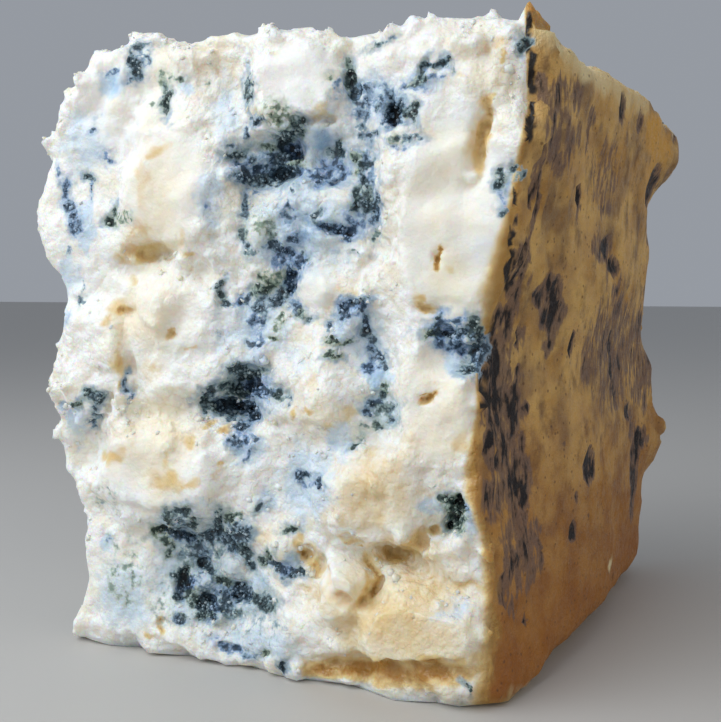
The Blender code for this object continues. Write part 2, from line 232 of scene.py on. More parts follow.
# Mould on the broken face: across, up, half-width, half-height, turn in degrees, strength and hue.
# Strength runs from 0.2 for a grey haze to 1 for black, and hue from 0 for blue to 1 for olive green.
MOULD_PATCHES = (
    # top left corner
    (6.9, 60.7, 0.7, 1.2, 0, 0.85, 0.5),
    (6.4, 61.6, 0.4, 0.6, 0, 0.75, 0.5),
    (7.6, 62.7, 1.6, 0.4, 6, 0.55, 0.5),
    (8, 61.6, 1, 1, 0, 0.45, 0.3),
    (6.9, 59.4, 0.9, 0.6, 0, 0.5, 0.3),
    (4.4, 60.4, 1.2, 0.4, 8, 0.5, 0.1),
    (10.2, 59.4, 1, 1, 0, 0.34, 1),
    (11.7, 59.3, 1, 0.4, -5, 0.45, 0.9),
    (15, 58.4, 1.3, 0.35, 0, 0.3, 0.9),
    (10.6, 57.3, 0.42, 1.5, 4, 0.95, 0.8),
    (9, 56.8, 0.8, 0.4, 0, 0.3, 1),
    (15.6, 56.2, 0.5, 1.1, 0, 0.26, 0.9),
    (1.8, 54.5, 0.5, 0.35, 0, 0.55, 0.2),
    (2.1, 55.4, 0.2, 0.8, -20, 0.35, 0.3),
    (3.5, 51.9, 0.9, 0.8, 0, 0.4, 0),
    (1.1, 49.8, 0.8, 0.4, -28, 0.9, 0.6),
    (1.3, 48.5, 0.3, 1, 0, 0.6, 0.1),
    (-2.6, 50.6, 0.3, 0.9, 0, 0.5, 0.1),
    (-1.8, 48.6, 0.7, 1.2, -12, 0.7, 0.05),
    (-1.3, 47, 0.6, 0.8, 0, 0.85, 0.2),
    (-0.8, 45.4, 0.8, 1, -10, 0.75, 0.1),
    (-0.8, 44.2, 0.9, 0.5, 0, 0.6, 0.1),
    (-1.5, 42.4, 0.7, 0.8, 0, 0.3, 0.3),
    (3, 45.4, 0.4, 0.5, 0, 0.9, 0.8),
    (4, 45.9, 0.3, 0.7, -15, 0.95, 0.8),
    (3.6, 45.1, 0.6, 0.35, 0, 0.75, 0.9),
    (5.2, 45.5, 1, 0.6, -15, 0.42, 1),
    (-0.2, 37, 0.6, 0.5, 0, 0.42, 0.5),
    (0.1, 39, 0.4, 1.6, 0, 0.26, 0.3),
    (-2.8, 35.4, 0.6, 0.6, 0, 0.42, 0.1),
    (-4, 37, 0.4, 0.6, 0, 0.5, 0.2),
    (15, 46.3, 0.8, 0.7, 0, 0.33, 0),
    # upper vein, left part
    (19.8, 57.5, 0.3, 1.3, 0, 0.85, 0.6),
    (20.3, 58, 0.35, 0.3, 0, 0.7, 0.5),
    (20.9, 54.4, 0.6, 0.4, 25, 0.95, 0.4),
    (20.1, 54.8, 0.5, 0.3, 0, 0.45, 0.4),
    (19.4, 53.5, 0.5, 0.6, 0, 0.55, 0.3),
    (19.6, 52.8, 0.35, 0.5, 0, 0.65, 0.4),
    (17.8, 52.6, 0.5, 0.3, 0, 0.5, 0.4),
    (18.3, 51.4, 1.2, 0.55, 8, 0.92, 0.6),
    (20.4, 50.8, 0.8, 0.45, -10, 1, 0.4),
    (19.3, 50.5, 1.3, 0.8, 0, 0.6, 0.1),
    (19.2, 49.3, 1.2, 0.7, -10, 0.88, 0.3),
    (20.6, 49.5, 1.1, 1, 0, 0.62, 0.1),
    (21.4, 48.7, 1.8, 0.7, -4, 0.88, 0.5),
    (22.2, 50.2, 1.3, 1.3, 0, 0.78, 0.2),
    (23.4, 50.6, 0.7, 1.2, 0, 0.84, 0.4),
    (23.6, 49.3, 1.5, 0.75, 8, 1, 0.4),
    (25, 50.2, 1.3, 0.5, 10, 0.8, 0.9),
    (24.1, 52.8, 1.2, 0.7, 22, 1, 0.6),
    (24.9, 51.3, 0.9, 0.9, 0, 0.92, 0),
    (25.2, 53.6, 0.5, 0.7, 0, 0.9, 0.7),
    (24.3, 53.8, 1, 0.8, 0, 0.5, 0.8),
    (22.8, 55, 1.3, 1.3, 0, 0.46, 1),
    (22.2, 52.1, 1.5, 0.4, 8, 0.52, 0.9),
    # blue recess and the lacy vein to its right
    (28, 58.2, 0.5, 0.4, 0, 0.5, 1),
    (29.1, 57.4, 0.6, 0.6, -20, 0.4, 0.1),
    (29.6, 56.6, 1, 0.6, 0, 0.42, 0.1),
    (30.6, 57.7, 0.55, 1.4, 0, 0.95, 0.8),
    (31, 56.5, 0.4, 0.8, 0, 1, 0.4),
    (30.4, 59.2, 0.4, 0.6, 0, 0.75, 0.9),
    (32.2, 56.9, 1.1, 0.6, 0, 0.66, 0.2),
    (31.8, 55.4, 1, 1.8, 0, 0.5, 0.2),
    (31.7, 53.2, 0.6, 1.2, 0, 0.42, 0.4),
    (29.1, 51.2, 0.8, 0.6, 25, 0.88, 0.6),
    (29.5, 51.9, 0.35, 0.6, 0, 0.8, 0.6),
    (30, 51.1, 0.4, 0.4, 0, 0.65, 0.5),
    (29.6, 49.6, 0.7, 1.2, 0, 0.64, 0),
    (27.7, 49.1, 1.7, 1, 0, 0.52, 0),
    (27.3, 48.4, 0.9, 0.45, 0, 0.62, 0),
    (29, 48.3, 0.9, 0.4, 0, 0.66, 0.1),
    (26, 49.4, 0.8, 0.5, 0, 0.48, 0),
    (24.6, 47.8, 0.25, 0.35, 0, 0.6, 0.5),
    (20.2, 47.5, 1.6, 0.6, 0, 0.3, 0.1),
    (31.4, 50.7, 0.5, 0.45, 0, 0.8, 0.9),
    (31.7, 49.5, 0.3, 1.1, 0, 0.85, 0.6),
    (32.6, 49.7, 0.3, 1, -20, 0.8, 0.5),
    (30.9, 49, 0.5, 0.5, 0, 0.36, 1),
    (32, 48.1, 0.3, 0.8, 0, 0.85, 0.5),
    (32.2, 47.1, 0.35, 0.9, 15, 0.95, 0.7),
    (31.4, 46.9, 0.45, 0.9, -15, 0.75, 0.7),
    (31.2, 46.1, 0.4, 0.5, 0, 0.75, 0.5),
    (32.2, 46.2, 0.5, 0.5, 0, 0.8, 0.5),
    (33, 46.4, 0.3, 0.9, -10, 0.85, 0.4),
    (33.1, 45, 0.35, 1, -8, 0.8, 0.2),
    (32.2, 48.6, 1.2, 4.4, 0, 0.36, 0.2),
    (33.3, 43.2, 0.25, 0.6, -30, 0.65, 0.8),
    # top right dark eyes
    (33.3, 60.5, 1.1, 0.3, 18, 0.55, 0.6),
    (34.6, 61, 0.7, 0.4, 15, 0.36, 0.3),
    (37.8, 58.4, 0.3, 0.8, -25, 0.97, 0.6),
    (37.5, 57.3, 0.4, 0.4, 0, 0.85, 0.7),
    (36.8, 57, 0.7, 0.2, 12, 0.75, 0.8),
    (38.6, 58.5, 0.7, 0.35, 0, 0.62, 0.5),
    (39.5, 58.5, 0.45, 0.4, 0, 0.96, 0.5),
    (40.4, 57.8, 0.25, 0.5, 0, 0.55, 0.6),
    (38.8, 57.4, 1.3, 0.5, 0, 0.34, 0),
    (34.4, 55.9, 0.6, 0.2, -50, 0.9, 0.4),
    (35, 54.4, 0.75, 1.1, -10, 1, 0.3),
    (35.2, 53.5, 0.8, 0.5, 0, 1, 0.2),
    (36.2, 54.4, 0.45, 0.6, 0, 0.75, 0.6),
    (36.9, 54.3, 0.35, 0.9, 12, 0.9, 0.7),
    (37.1, 54.9, 0.35, 0.3, 0, 0.88, 0.7),
    (34.3, 53.7, 0.6, 0.7, 0, 0.75, 0.2),
    (33.4, 55.7, 1.6, 1.6, 0, 0.5, 0.2),
    (33.4, 55, 0.35, 0.5, 0, 0.8, 0.4),
    (36.6, 56.7, 1.9, 0.5, 0, 0.34, 0.1),
    (36.5, 52, 1, 0.3, 0, 0.62, 0.5),
    (35.1, 52, 0.6, 0.4, 0, 0.5, 0.8),
    (35.2, 51.5, 1.5, 0.5, 0, 0.28, 0.1),
    (32.7, 52.4, 0.6, 0.18, 50, 0.92, 0.4),
    # middle vein
    (27.1, 45.3, 0.3, 0.6, -40, 0.65, 0.5),
    (28.8, 44.2, 1.9, 0.38, -14, 1, 0.1),
    (30, 43.7, 1.1, 0.4, -8, 0.95, 0),
    (31, 44.6, 1.5, 1.2, 0, 0.38, 0),
    (25.4, 43.4, 0.9, 0.3, 5, 0.92, 0.1),
    (24.6, 43.1, 0.7, 0.4, 0, 0.82, 0.1),
    (25.6, 42, 0.3, 0.3, 0, 0.75, 0.5),
    (23.9, 45.5, 0.9, 1.3, 0, 0.5, 0.2),
    (22, 44, 0.5, 1, 0, 0.58, 0.8),
    (19.4, 46.2, 0.35, 1.2, 0, 0.62, 0.4),
    (19, 43.7, 0.4, 0.5, 0, 0.66, 0.7),
    (19.5, 42.7, 0.8, 0.3, -38, 0.66, 0.5),
    (20.4, 42, 0.9, 0.35, -10, 0.55, 0.6),
    (20.9, 44.3, 1.5, 1.8, 0, 0.28, 1),
    (22.5, 42.3, 0.9, 0.5, 0, 0.78, 0.3),
    (23.8, 41.9, 1.3, 0.4, -4, 0.92, 0.1),
    (25.4, 41.3, 0.9, 0.5, -25, 0.92, 0),
    (25, 40.6, 0.7, 0.6, 0, 0.75, 0),
    (23.4, 41, 1.3, 0.7, 0, 0.46, 0),
    (24.3, 39.6, 0.6, 0.8, -15, 1, 0.1),
    (24.2, 38.5, 0.5, 1, 0, 1, 0.2),
    (23.6, 38.1, 1, 0.6, 0, 0.94, 0.5),
    (22.2, 39.2, 1.4, 1, 0, 0.56, 1),
    (21.1, 38.4, 0.8, 0.6, 0, 0.85, 0.9),
    (20.5, 37.8, 0.4, 0.5, 0, 0.6, 0.8),
    (22.6, 37.4, 1.5, 0.5, 0, 0.86, 0.4),
    (21, 36.4, 0.8, 0.9, 0, 0.7, 0.4),
    (24.8, 36.7, 0.6, 0.6, 0, 0.64, 0.2),
    (25.4, 36, 0.7, 0.4, -15, 0.78, 0.8),
    (26.2, 35.6, 0.5, 0.3, 0, 0.7, 0.6),
    (18.8, 37.3, 0.6, 0.8, 0, 0.56, 0),
    (19.8, 37.5, 0.4, 0.5, 0, 0.72, 0.3),
    (20.7, 35, 0.7, 1.2, 0, 0.55, 0.1),
    (20.1, 33, 0.5, 0.4, 0, 0.82, 0.3),
    (20.9, 33.2, 0.8, 0.9, 0, 0.52, 0.1),
    (22.5, 34.6, 0.9, 1, 0, 0.28, 1),
    (23.4, 35.6, 0.35, 0.9, 0, 0.33, 1),
    (22.3, 33.6, 0.6, 0.3, 0, 0.5, 1),
    (26.2, 41.1, 0.7, 0.2, 0, 0.55, 0.6),
    (31, 41.6, 0.9, 0.15, -8, 0.6, 0.8),
    (16.7, 38.6, 0.3, 0.7, -40, 0.97, 0.6),
    (16.4, 37.5, 0.45, 0.6, 0, 0.9, 0.7),
    (17.2, 37, 0.8, 0.35, -8, 0.96, 0.5),
    (16.6, 33.6, 0.3, 0.6, -20, 0.36, 0.3),
    # right-hand cluster and the wet teal vein below it
    (31.2, 37.2, 1.1, 0.3, 15, 0.96, 0.3),
    (29.9, 36.6, 0.8, 0.4, 35, 0.94, 0.1),
    (31.7, 37.2, 0.35, 0.4, 0, 0.96, 0.5),
    (31, 36.1, 1, 0.8, 0, 0.52, 0),
    (30.1, 35.8, 0.5, 0.5, 0, 0.66, 0.1),
    (31.8, 36.5, 0.35, 0.6, 0, 0.8, 0),
    (32.2, 35.2, 0.35, 0.8, -12, 0.86, 0.2),
    (31.7, 34.5, 0.6, 0.4, 0, 0.8, 0.5),
    (30.9, 34.8, 0.9, 0.9, 0, 0.36, 0.2),
    (28.6, 35, 0.3, 0.3, 0, 0.8, 0.3),
    (28.4, 34.3, 0.3, 0.8, 0, 0.4, 0.4),
    (29, 33.6, 0.7, 0.35, 0, 0.88, 1),
    (30, 33.5, 0.7, 0.3, 0, 0.74, 0.9),
    (30.7, 33.8, 0.6, 0.5, 0, 0.42, 0.6),
    (28.2, 32.3, 0.6, 0.28, 25, 0.86, 1),
    (29, 31.9, 0.5, 0.3, -20, 0.86, 1),
    (32.6, 33.5, 0.6, 0.45, -25, 0.8, 0.4),
    (32.9, 32.4, 0.7, 0.8, 0, 0.72, 0.2),
    (33.7, 32, 0.5, 0.6, -30, 0.66, 0.3),
    (32.7, 31, 0.8, 0.7, 0, 0.58, 0),
    (34, 31.4, 0.4, 0.6, 0, 0.6, 0.4),
    (34.3, 29.2, 0.6, 0.45, 0, 0.6, 0.9),
    (33.7, 28.7, 0.6, 0.4, 30, 0.82, 0.6),
    (32.7, 27.5, 0.45, 0.5, 0, 0.96, 0.3),
    (33.4, 28.1, 0.45, 0.3, 40, 0.92, 0.1),
    (32.4, 26.9, 0.35, 0.25, 0, 0.96, 0.2),
    (33.8, 27, 1.5, 1.4, 0, 0.38, 0.7),
    (32.6, 25.6, 0.9, 0.45, 12, 0.52, 0.8),
    (33.4, 25.5, 0.7, 0.25, 8, 0.74, 0.7),
    (34.5, 26, 0.6, 0.25, 20, 0.8, 0.4),
    (34.9, 27, 0.2, 0.7, -45, 0.65, 0.5),
    (31.1, 23.5, 0.2, 0.45, -45, 0.92, 0.7),
    (30.7, 23.1, 0.35, 0.18, 20, 0.75, 0.9),
    (31.6, 24.6, 0.7, 1, 0, 0.24, 0.9),
    (25.2, 20.1, 0.45, 0.35, 20, 0.85, 0.2),
    (26.1, 20.3, 0.6, 0.22, 0, 0.6, 0.3),
    (27.1, 20.1, 0.4, 0.4, 0, 0.74, 0.2),
    (27.4, 19.6, 0.5, 0.35, 0, 0.8, 0.2),
    (26.2, 19.4, 1.5, 0.5, 0, 0.24, 0),
    # cave in the middle left
    (17.2, 26.7, 2.2, 0.75, -5, 1, 0.4),
    (19.1, 26.6, 1.7, 0.6, 0, 1, 0.2),
    (20.1, 26.1, 0.7, 0.7, 0, 0.95, 0.2),
    (17.5, 25.7, 1.6, 0.5, -6, 0.6, 0.5),
    (19.4, 24.8, 0.6, 0.6, -30, 0.96, 0.2),
    (18.7, 24.5, 0.6, 0.35, 0, 0.88, 0.2),
    (18.4, 28.4, 1.8, 0.8, 0, 0.96, 0.7),
    (19.5, 30.1, 1.8, 0.6, 5, 1, 0.6),
    (18.2, 30.6, 0.9, 0.5, 0, 0.78, 0.6),
    (20.4, 28.6, 1.5, 1, 0, 0.92, 0),
    (21.2, 27.9, 0.8, 0.6, 0, 0.64, 0),
    (22.5, 28.5, 0.9, 0.35, 0, 0.62, 0.3),
    (23.3, 28, 0.6, 0.5, 0, 0.74, 0.7),
    (24, 27.5, 0.3, 0.6, 0, 0.5, 0.5),
    (15.2, 28, 1, 0.6, 15, 0.8, 0.5),
    (14.7, 27, 0.5, 1, 0, 0.8, 0.6),
    (15.3, 26.6, 0.9, 0.45, 0, 0.92, 0.7),
    (18.8, 23.5, 1, 0.6, 0, 0.6, 0),
    (18, 23, 0.6, 0.5, 0, 0.72, 0.2),
    (20.3, 23.6, 0.5, 0.4, 0, 0.72, 0.2),
    (19.6, 22.1, 0.35, 0.9, -10, 0.55, 0.1),
    (19, 21.4, 0.4, 0.6, -20, 0.42, 0.1),
    # notch on the left
    (0.9, 27.2, 0.6, 0.7, 0, 0.96, 0.7),
    (1.8, 26.9, 0.8, 0.6, 0, 0.9, 0.5),
    (1.6, 25.6, 0.6, 0.8, 0, 0.76, 0.4),
    (0.9, 24.3, 0.6, 0.6, 0, 0.58, 0.2),
    (-1, 26.2, 1, 0.22, 10, 0.95, 0.9),
    (-0.6, 21.7, 0.4, 0.5, 0, 0.42, 0.2),
    (5.4, 28.4, 0.4, 0.8, 0, 1, 0.3),
    (5.9, 27, 0.2, 0.9, -20, 0.55, 0.1),
    (3.2, 11.9, 0.3, 0.5, -40, 0.5, 0.1),
    (5.9, 10.5, 0.7, 1.7, 0, 0.26, 1),
    (4.6, 8, 3, 5.4, 0, 0.24, 0.9),  # thin grey-green veil at the lower left
    (9.4, 6, 3, 4, 0, 0.22, 0.8),
    (15, 10, 5.6, 6.4, 0, 0.26, 0.6),
    (21, 4.6, 5, 2.8, 0, 0.22, 0.5),
    (2.4, 16.6, 2.6, 2.6, 0, 0.2, 0.8),
    (7, 9.3, 0.9, 0.6, 0, 0.22, 1),
    # lower patch
    (11.1, 14.7, 1.5, 1.1, 0, 0.62, 0.4),
    (10.3, 14.9, 0.5, 0.9, 0, 0.9, 0.7),
    (12.4, 15.7, 0.5, 0.6, 0, 0.88, 0.7),
    (11.4, 15.5, 1.2, 0.4, 0, 0.72, 0.6),
    (13.3, 14.7, 0.7, 0.6, 0, 0.86, 0.7),
    (10.7, 13.6, 0.9, 0.5, 0, 0.94, 0.4),
    (9.4, 13.6, 0.9, 0.4, 18, 0.96, 0.9),
    (8.4, 13.1, 0.6, 0.6, 0, 0.88, 1),
    (12.1, 13.2, 1.4, 0.4, 0, 0.96, 0.2),
    (14.2, 13.4, 0.9, 0.4, 0, 0.94, 0.5),
    (16.2, 15.2, 0.4, 0.9, 0, 0.9, 0.6),
    (16, 14.3, 0.8, 0.6, 0, 0.84, 0.5),
    (15.5, 13.5, 1.3, 0.7, 0, 0.82, 0.4),
    (16.9, 13.4, 0.9, 0.9, 0, 0.82, 0.4),
    (17.4, 15.2, 0.45, 0.8, 0, 0.84, 0.9),
    (18.3, 16, 0.8, 0.35, 0, 0.78, 0.9),
    (18.3, 13.7, 1.5, 2, 0, 0.66, 0.4),
    (19.2, 14.2, 0.8, 0.8, 0, 0.84, 0.4),
    (19, 12.2, 1.1, 0.7, -35, 0.84, 0.6),
    (19.5, 11.1, 0.9, 0.4, -40, 0.82, 0.5),
    (20.8, 16.6, 0.3, 0.6, -35, 0.97, 0.5),
    (12.8, 11.6, 1.6, 1.2, 0, 0.5, 0.5),
    (14.4, 11.8, 1.2, 0.9, 0, 0.48, 0.3),
    (13.6, 12.6, 1.4, 0.5, 0, 0.7, 0.4),
    (9.9, 12.5, 0.9, 0.5, 0, 0.62, 0.9),
    (10.6, 11.6, 0.3, 0.8, -15, 0.64, 0.8),
    (10.3, 11, 0.5, 0.4, 0, 0.9, 0.9),
    (14.6, 10.4, 1.1, 0.5, 0, 0.96, 0.5),
    (15.2, 9.9, 0.7, 0.5, 0, 0.9, 0.5),
    (12.2, 9.6, 0.9, 0.5, 20, 0.95, 0.7),
    (11.6, 8.8, 0.8, 0.8, 0, 1, 0.6),
    (11.6, 7.6, 0.6, 1.1, 0, 1, 0.2),
    (11, 7, 0.5, 0.5, 0, 0.82, 0.5),
    (12.6, 8, 0.6, 0.8, 0, 0.9, 0),
    (14.5, 8.8, 1.4, 1.3, 0, 0.56, 0.3),
    (13, 7, 0.9, 0.8, 0, 0.7, 0.8),
    (14.6, 6.6, 1.1, 0.8, 0, 1, 0.5),
    (15.4, 6.4, 0.6, 0.8, 0, 1, 0.1),
    (14.2, 5.4, 1.3, 0.6, 0, 0.9, 0.7),
    (15, 4.8, 0.9, 0.5, 0, 0.88, 0.3),
    (16.6, 8.8, 1.3, 0.5, -12, 0.8, 0.8),
    (18.4, 8.6, 1.5, 0.45, 5, 0.95, 0.3),
    (17.4, 7.8, 1.8, 0.8, 0, 0.78, 0.2),
    (18.8, 7.6, 1.4, 0.7, 0, 0.94, 0.3),
    (16.6, 6.6, 1.2, 0.8, 0, 0.8, 0.4),
    (17.8, 5.9, 1.2, 0.6, 0, 0.7, 0.6),
    (20.8, 7.5, 1.4, 0.8, 0, 0.9, 0.6),
    (21.9, 6.9, 0.5, 0.5, 0, 0.72, 0.7),
    (22, 11.9, 0.45, 0.5, 0, 0.95, 0.9),
    (21.2, 11.5, 0.5, 0.5, 0, 0.88, 0.8),
    (22.6, 11.2, 1.3, 0.4, -12, 0.95, 0.4),
    (23.6, 10.9, 0.8, 0.5, -15, 0.8, 0),
    (24.5, 10.3, 1.2, 0.4, 5, 0.92, 0.4),
    (25.2, 10.7, 0.35, 0.6, 0, 0.8, 0.6),
    (24.2, 14.9, 0.9, 0.3, 10, 0.84, 0.9),
    (23.3, 14.6, 0.6, 0.25, 0, 0.42, 0.9),
    (11.2, 4.3, 0.8, 0.4, -15, 0.92, 0.3),
    (11.9, 4.7, 0.6, 0.35, 0, 0.72, 0.7),
    (16.9, 2.3, 1.7, 0.6, -8, 0.56, 0.1),
    (19.4, 1.9, 0.9, 0.4, 0, 0.44, 0.3),
    (21.3, 2.1, 0.8, 0.3, 15, 0.6, 1),
    (23.2, 1, 0.3, 0.7, 0, 0.95, 0.5),
    (42.3, 1.6, 0.15, 0.5, 25, 0.85, 0.8),
    (41.2, 9.2, 0.25, 0.25, 0, 0.55, 0.9),
    # pocket at the rind's edge
    (39.7, 35.2, 1.5, 0.7, 0, 0.5, 0),
    (41.3, 35.5, 1.1, 0.6, 0, 0.4, 0),
    (40.2, 34.35, 1.8, 0.22, 0, 1, 0.4),
    (38.4, 34.3, 0.6, 0.4, 0, 0.9, 0.9),
    (38.9, 35.2, 0.9, 0.2, 45, 0.85, 0.5),
    (41.4, 34.4, 0.9, 0.4, 0, 0.9, 0.3),
    (42.5, 34.9, 0.7, 1, 0, 0.9, 0.7),
    (39.7, 33.5, 1.1, 0.7, 0, 0.62, 0),
    (40.2, 33, 0.5, 0.4, 0, 0.74, 0.1),
    (41, 33.6, 0.8, 0.5, 0, 0.8, 0.1),
    (41.6, 32.8, 1.1, 0.7, 0, 0.36, 0),
    (42.4, 32.2, 0.6, 1, 0, 0.46, 0.6),
    (42.9, 33.5, 0.5, 1, 0, 0.86, 0.4),
    (43.2, 32.3, 0.6, 1.6, 0, 0.96, 0.2),
    (42.4, 31.1, 1, 0.4, 0, 1, 0.5),
    # green hole
    (40.3, 19.2, 0.6, 0.4, 0, 0.82, 0.9),
    (41.3, 18.9, 0.7, 0.8, 0, 1, 0.9),
    (40.6, 18.3, 0.5, 0.5, 0, 0.9, 0.9),
    (41.2, 17.6, 0.8, 0.6, 0, 0.86, 0.8),
    (40.9, 16.8, 0.7, 0.6, 0, 0.95, 0.9),
    (42.2, 18.5, 0.5, 0.5, 0, 0.7, 0.2),
    # dark specks beside the rind
    (46.9, 59.8, 0.8, 0.8, 0, 0.72, 0.6),
    (45, 48.8, 0.5, 0.35, 0, 0.85, 0.7),
    (45.3, 48.1, 0.4, 0.7, 0, 0.82, 0.7),
    (44.9, 47.5, 0.5, 0.35, 0, 0.92, 0.6),
    (46.3, 48.8, 0.6, 0.35, 0, 0.88, 0.6),
    (46.7, 48.2, 0.4, 0.8, 0, 0.85, 0.7),
    (45.1, 45.6, 0.4, 0.4, 0, 0.92, 0.5),
    (45.3, 46.8, 0.6, 0.9, 0, 0.3, 0),
)

# Lumps of curd that stand clean between the mould: across, up, half-width, half-height, strength.
CLEAN_LUMPS = (
    (17.9, 10.9, 1.7, 1.4, 1),
    (21.3, 13.8, 1.7, 1.6, 1),
    (23.3, 12.9, 1.5, 1.2, 0.9),
    (14.4, 8.9, 1, 0.8, 0.7),
    (26.8, 43.4, 1.9, 1.9, 0.9),
    (22, 50.4, 0.8, 0.7, 0.6),
    (22.4, 26.9, 1.6, 1.3, 0.8),
    (31, 34.9, 0.9, 0.8, 0.7),
)

# Painted shade, partly mould: a dark line in the gap where the paste has come away from the rind: across,
# up, half-width, half-height, turn and strength.
CREVICE_SHADE = (
    (47.4, 60.2, 0.36, 2.2, 0, 1.1),
    (47.6, 57.2, 0.3, 2.2, 0, 1.1),
    (47.7, 54.3, 0.3, 2.2, 0, 1.1),
    (47.5, 51.8, 0.28, 1.8, 8, 1),
    (46.4, 45.6, 0.25, 1.9, 8, 0.9),
    (46, 42.4, 0.3, 1.8, 4, 0.9),
    (45.7, 39.4, 0.35, 1.6, 0, 0.9),
    (45.6, 36.6, 0.25, 1.2, 0, 0.85),
    (43.4, 28.8, 0.3, 1.6, 0, 1),
    (44, 28.3, 0.35, 0.6, 0, 1),
)

# Bluish-white bloom: across, up, half-width, half-height, strength.
BLOOM_AREAS = (
    (4.4, 59.1, 1.8, 1.7, 1.9),
    (12.6, 58.2, 1.3, 1.2, 1),
    (0.5, 53.5, 4.5, 4.5, 0.8),
    (0.6, 44.8, 1.5, 3.5, 1.6),
    (-1.8, 40, 2.2, 3.6, 0.8),
    (-3.2, 35.4, 2, 2, 1.5),
    (-1, 24.3, 2, 2.2, 1),
    (15.5, 47, 2.4, 5, 0.8),
    (17.6, 55.6, 2, 5.5, 0.7),
    (27.7, 52.2, 1.8, 2.1, 2.1),
    (25.8, 50.5, 8.2, 6.5, 0.9),
    (33, 56, 4.2, 3.2, 0.8),
    (38, 57.4, 3, 1.6, 0.6),
    (25.2, 43.6, 7.8, 5.6, 1),
    (30.8, 45, 2.4, 2.2, 1.5),
    (24.8, 45.2, 1.6, 1.6, 1.5),
    (27, 43.3, 2.2, 2, 1.5),
    (21, 34.6, 4.4, 4.6, 0.9),
    (17.2, 34, 2.6, 5, 0.6),
    (31.5, 34.4, 3.6, 4.4, 0.9),
    (33.4, 30, 1.8, 1.9, 2),
    (33.8, 27, 2.6, 2.6, 1.1),
    (29.6, 24, 2.2, 2.6, 0.8),
    (25.8, 19.6, 4.2, 5.2, 1),
    (24.6, 31.4, 3, 2.6, 0.4),
    (19.6, 22.6, 2.4, 3, 1.1),
    (20.4, 31.5, 1.6, 1.2, 1.5),
    (22.4, 27.4, 1.8, 1.6, 0.6),
    (14, 9.6, 9.6, 8.6, 0.8),
    (5, 6, 5, 6, 0.9),
    (2.8, 11.6, 1.2, 1.6, 1.3),
    (20.6, 9.4, 1.4, 1, 1.6),
    (24.6, 11.8, 1.2, 1.2, 1.7),
    (19.6, 6.4, 1.6, 0.9, 1.3),
    (20.5, 3, 6, 2.6, 0.9),
    (13.5, 16.2, 3.2, 1.4, 0.7),
    (21.5, 17.6, 1.6, 1.8, 1),
    (42.8, 17.6, 1.4, 2.2, 1.6),
    (38.8, 18.4, 2.2, 1.1, 0.9),
    (41.5, 31.6, 2.4, 1.8, 1),
    (46, 46.5, 1.2, 4, 0.7),
    (40.6, 8.8, 3, 2, 0.5),
)
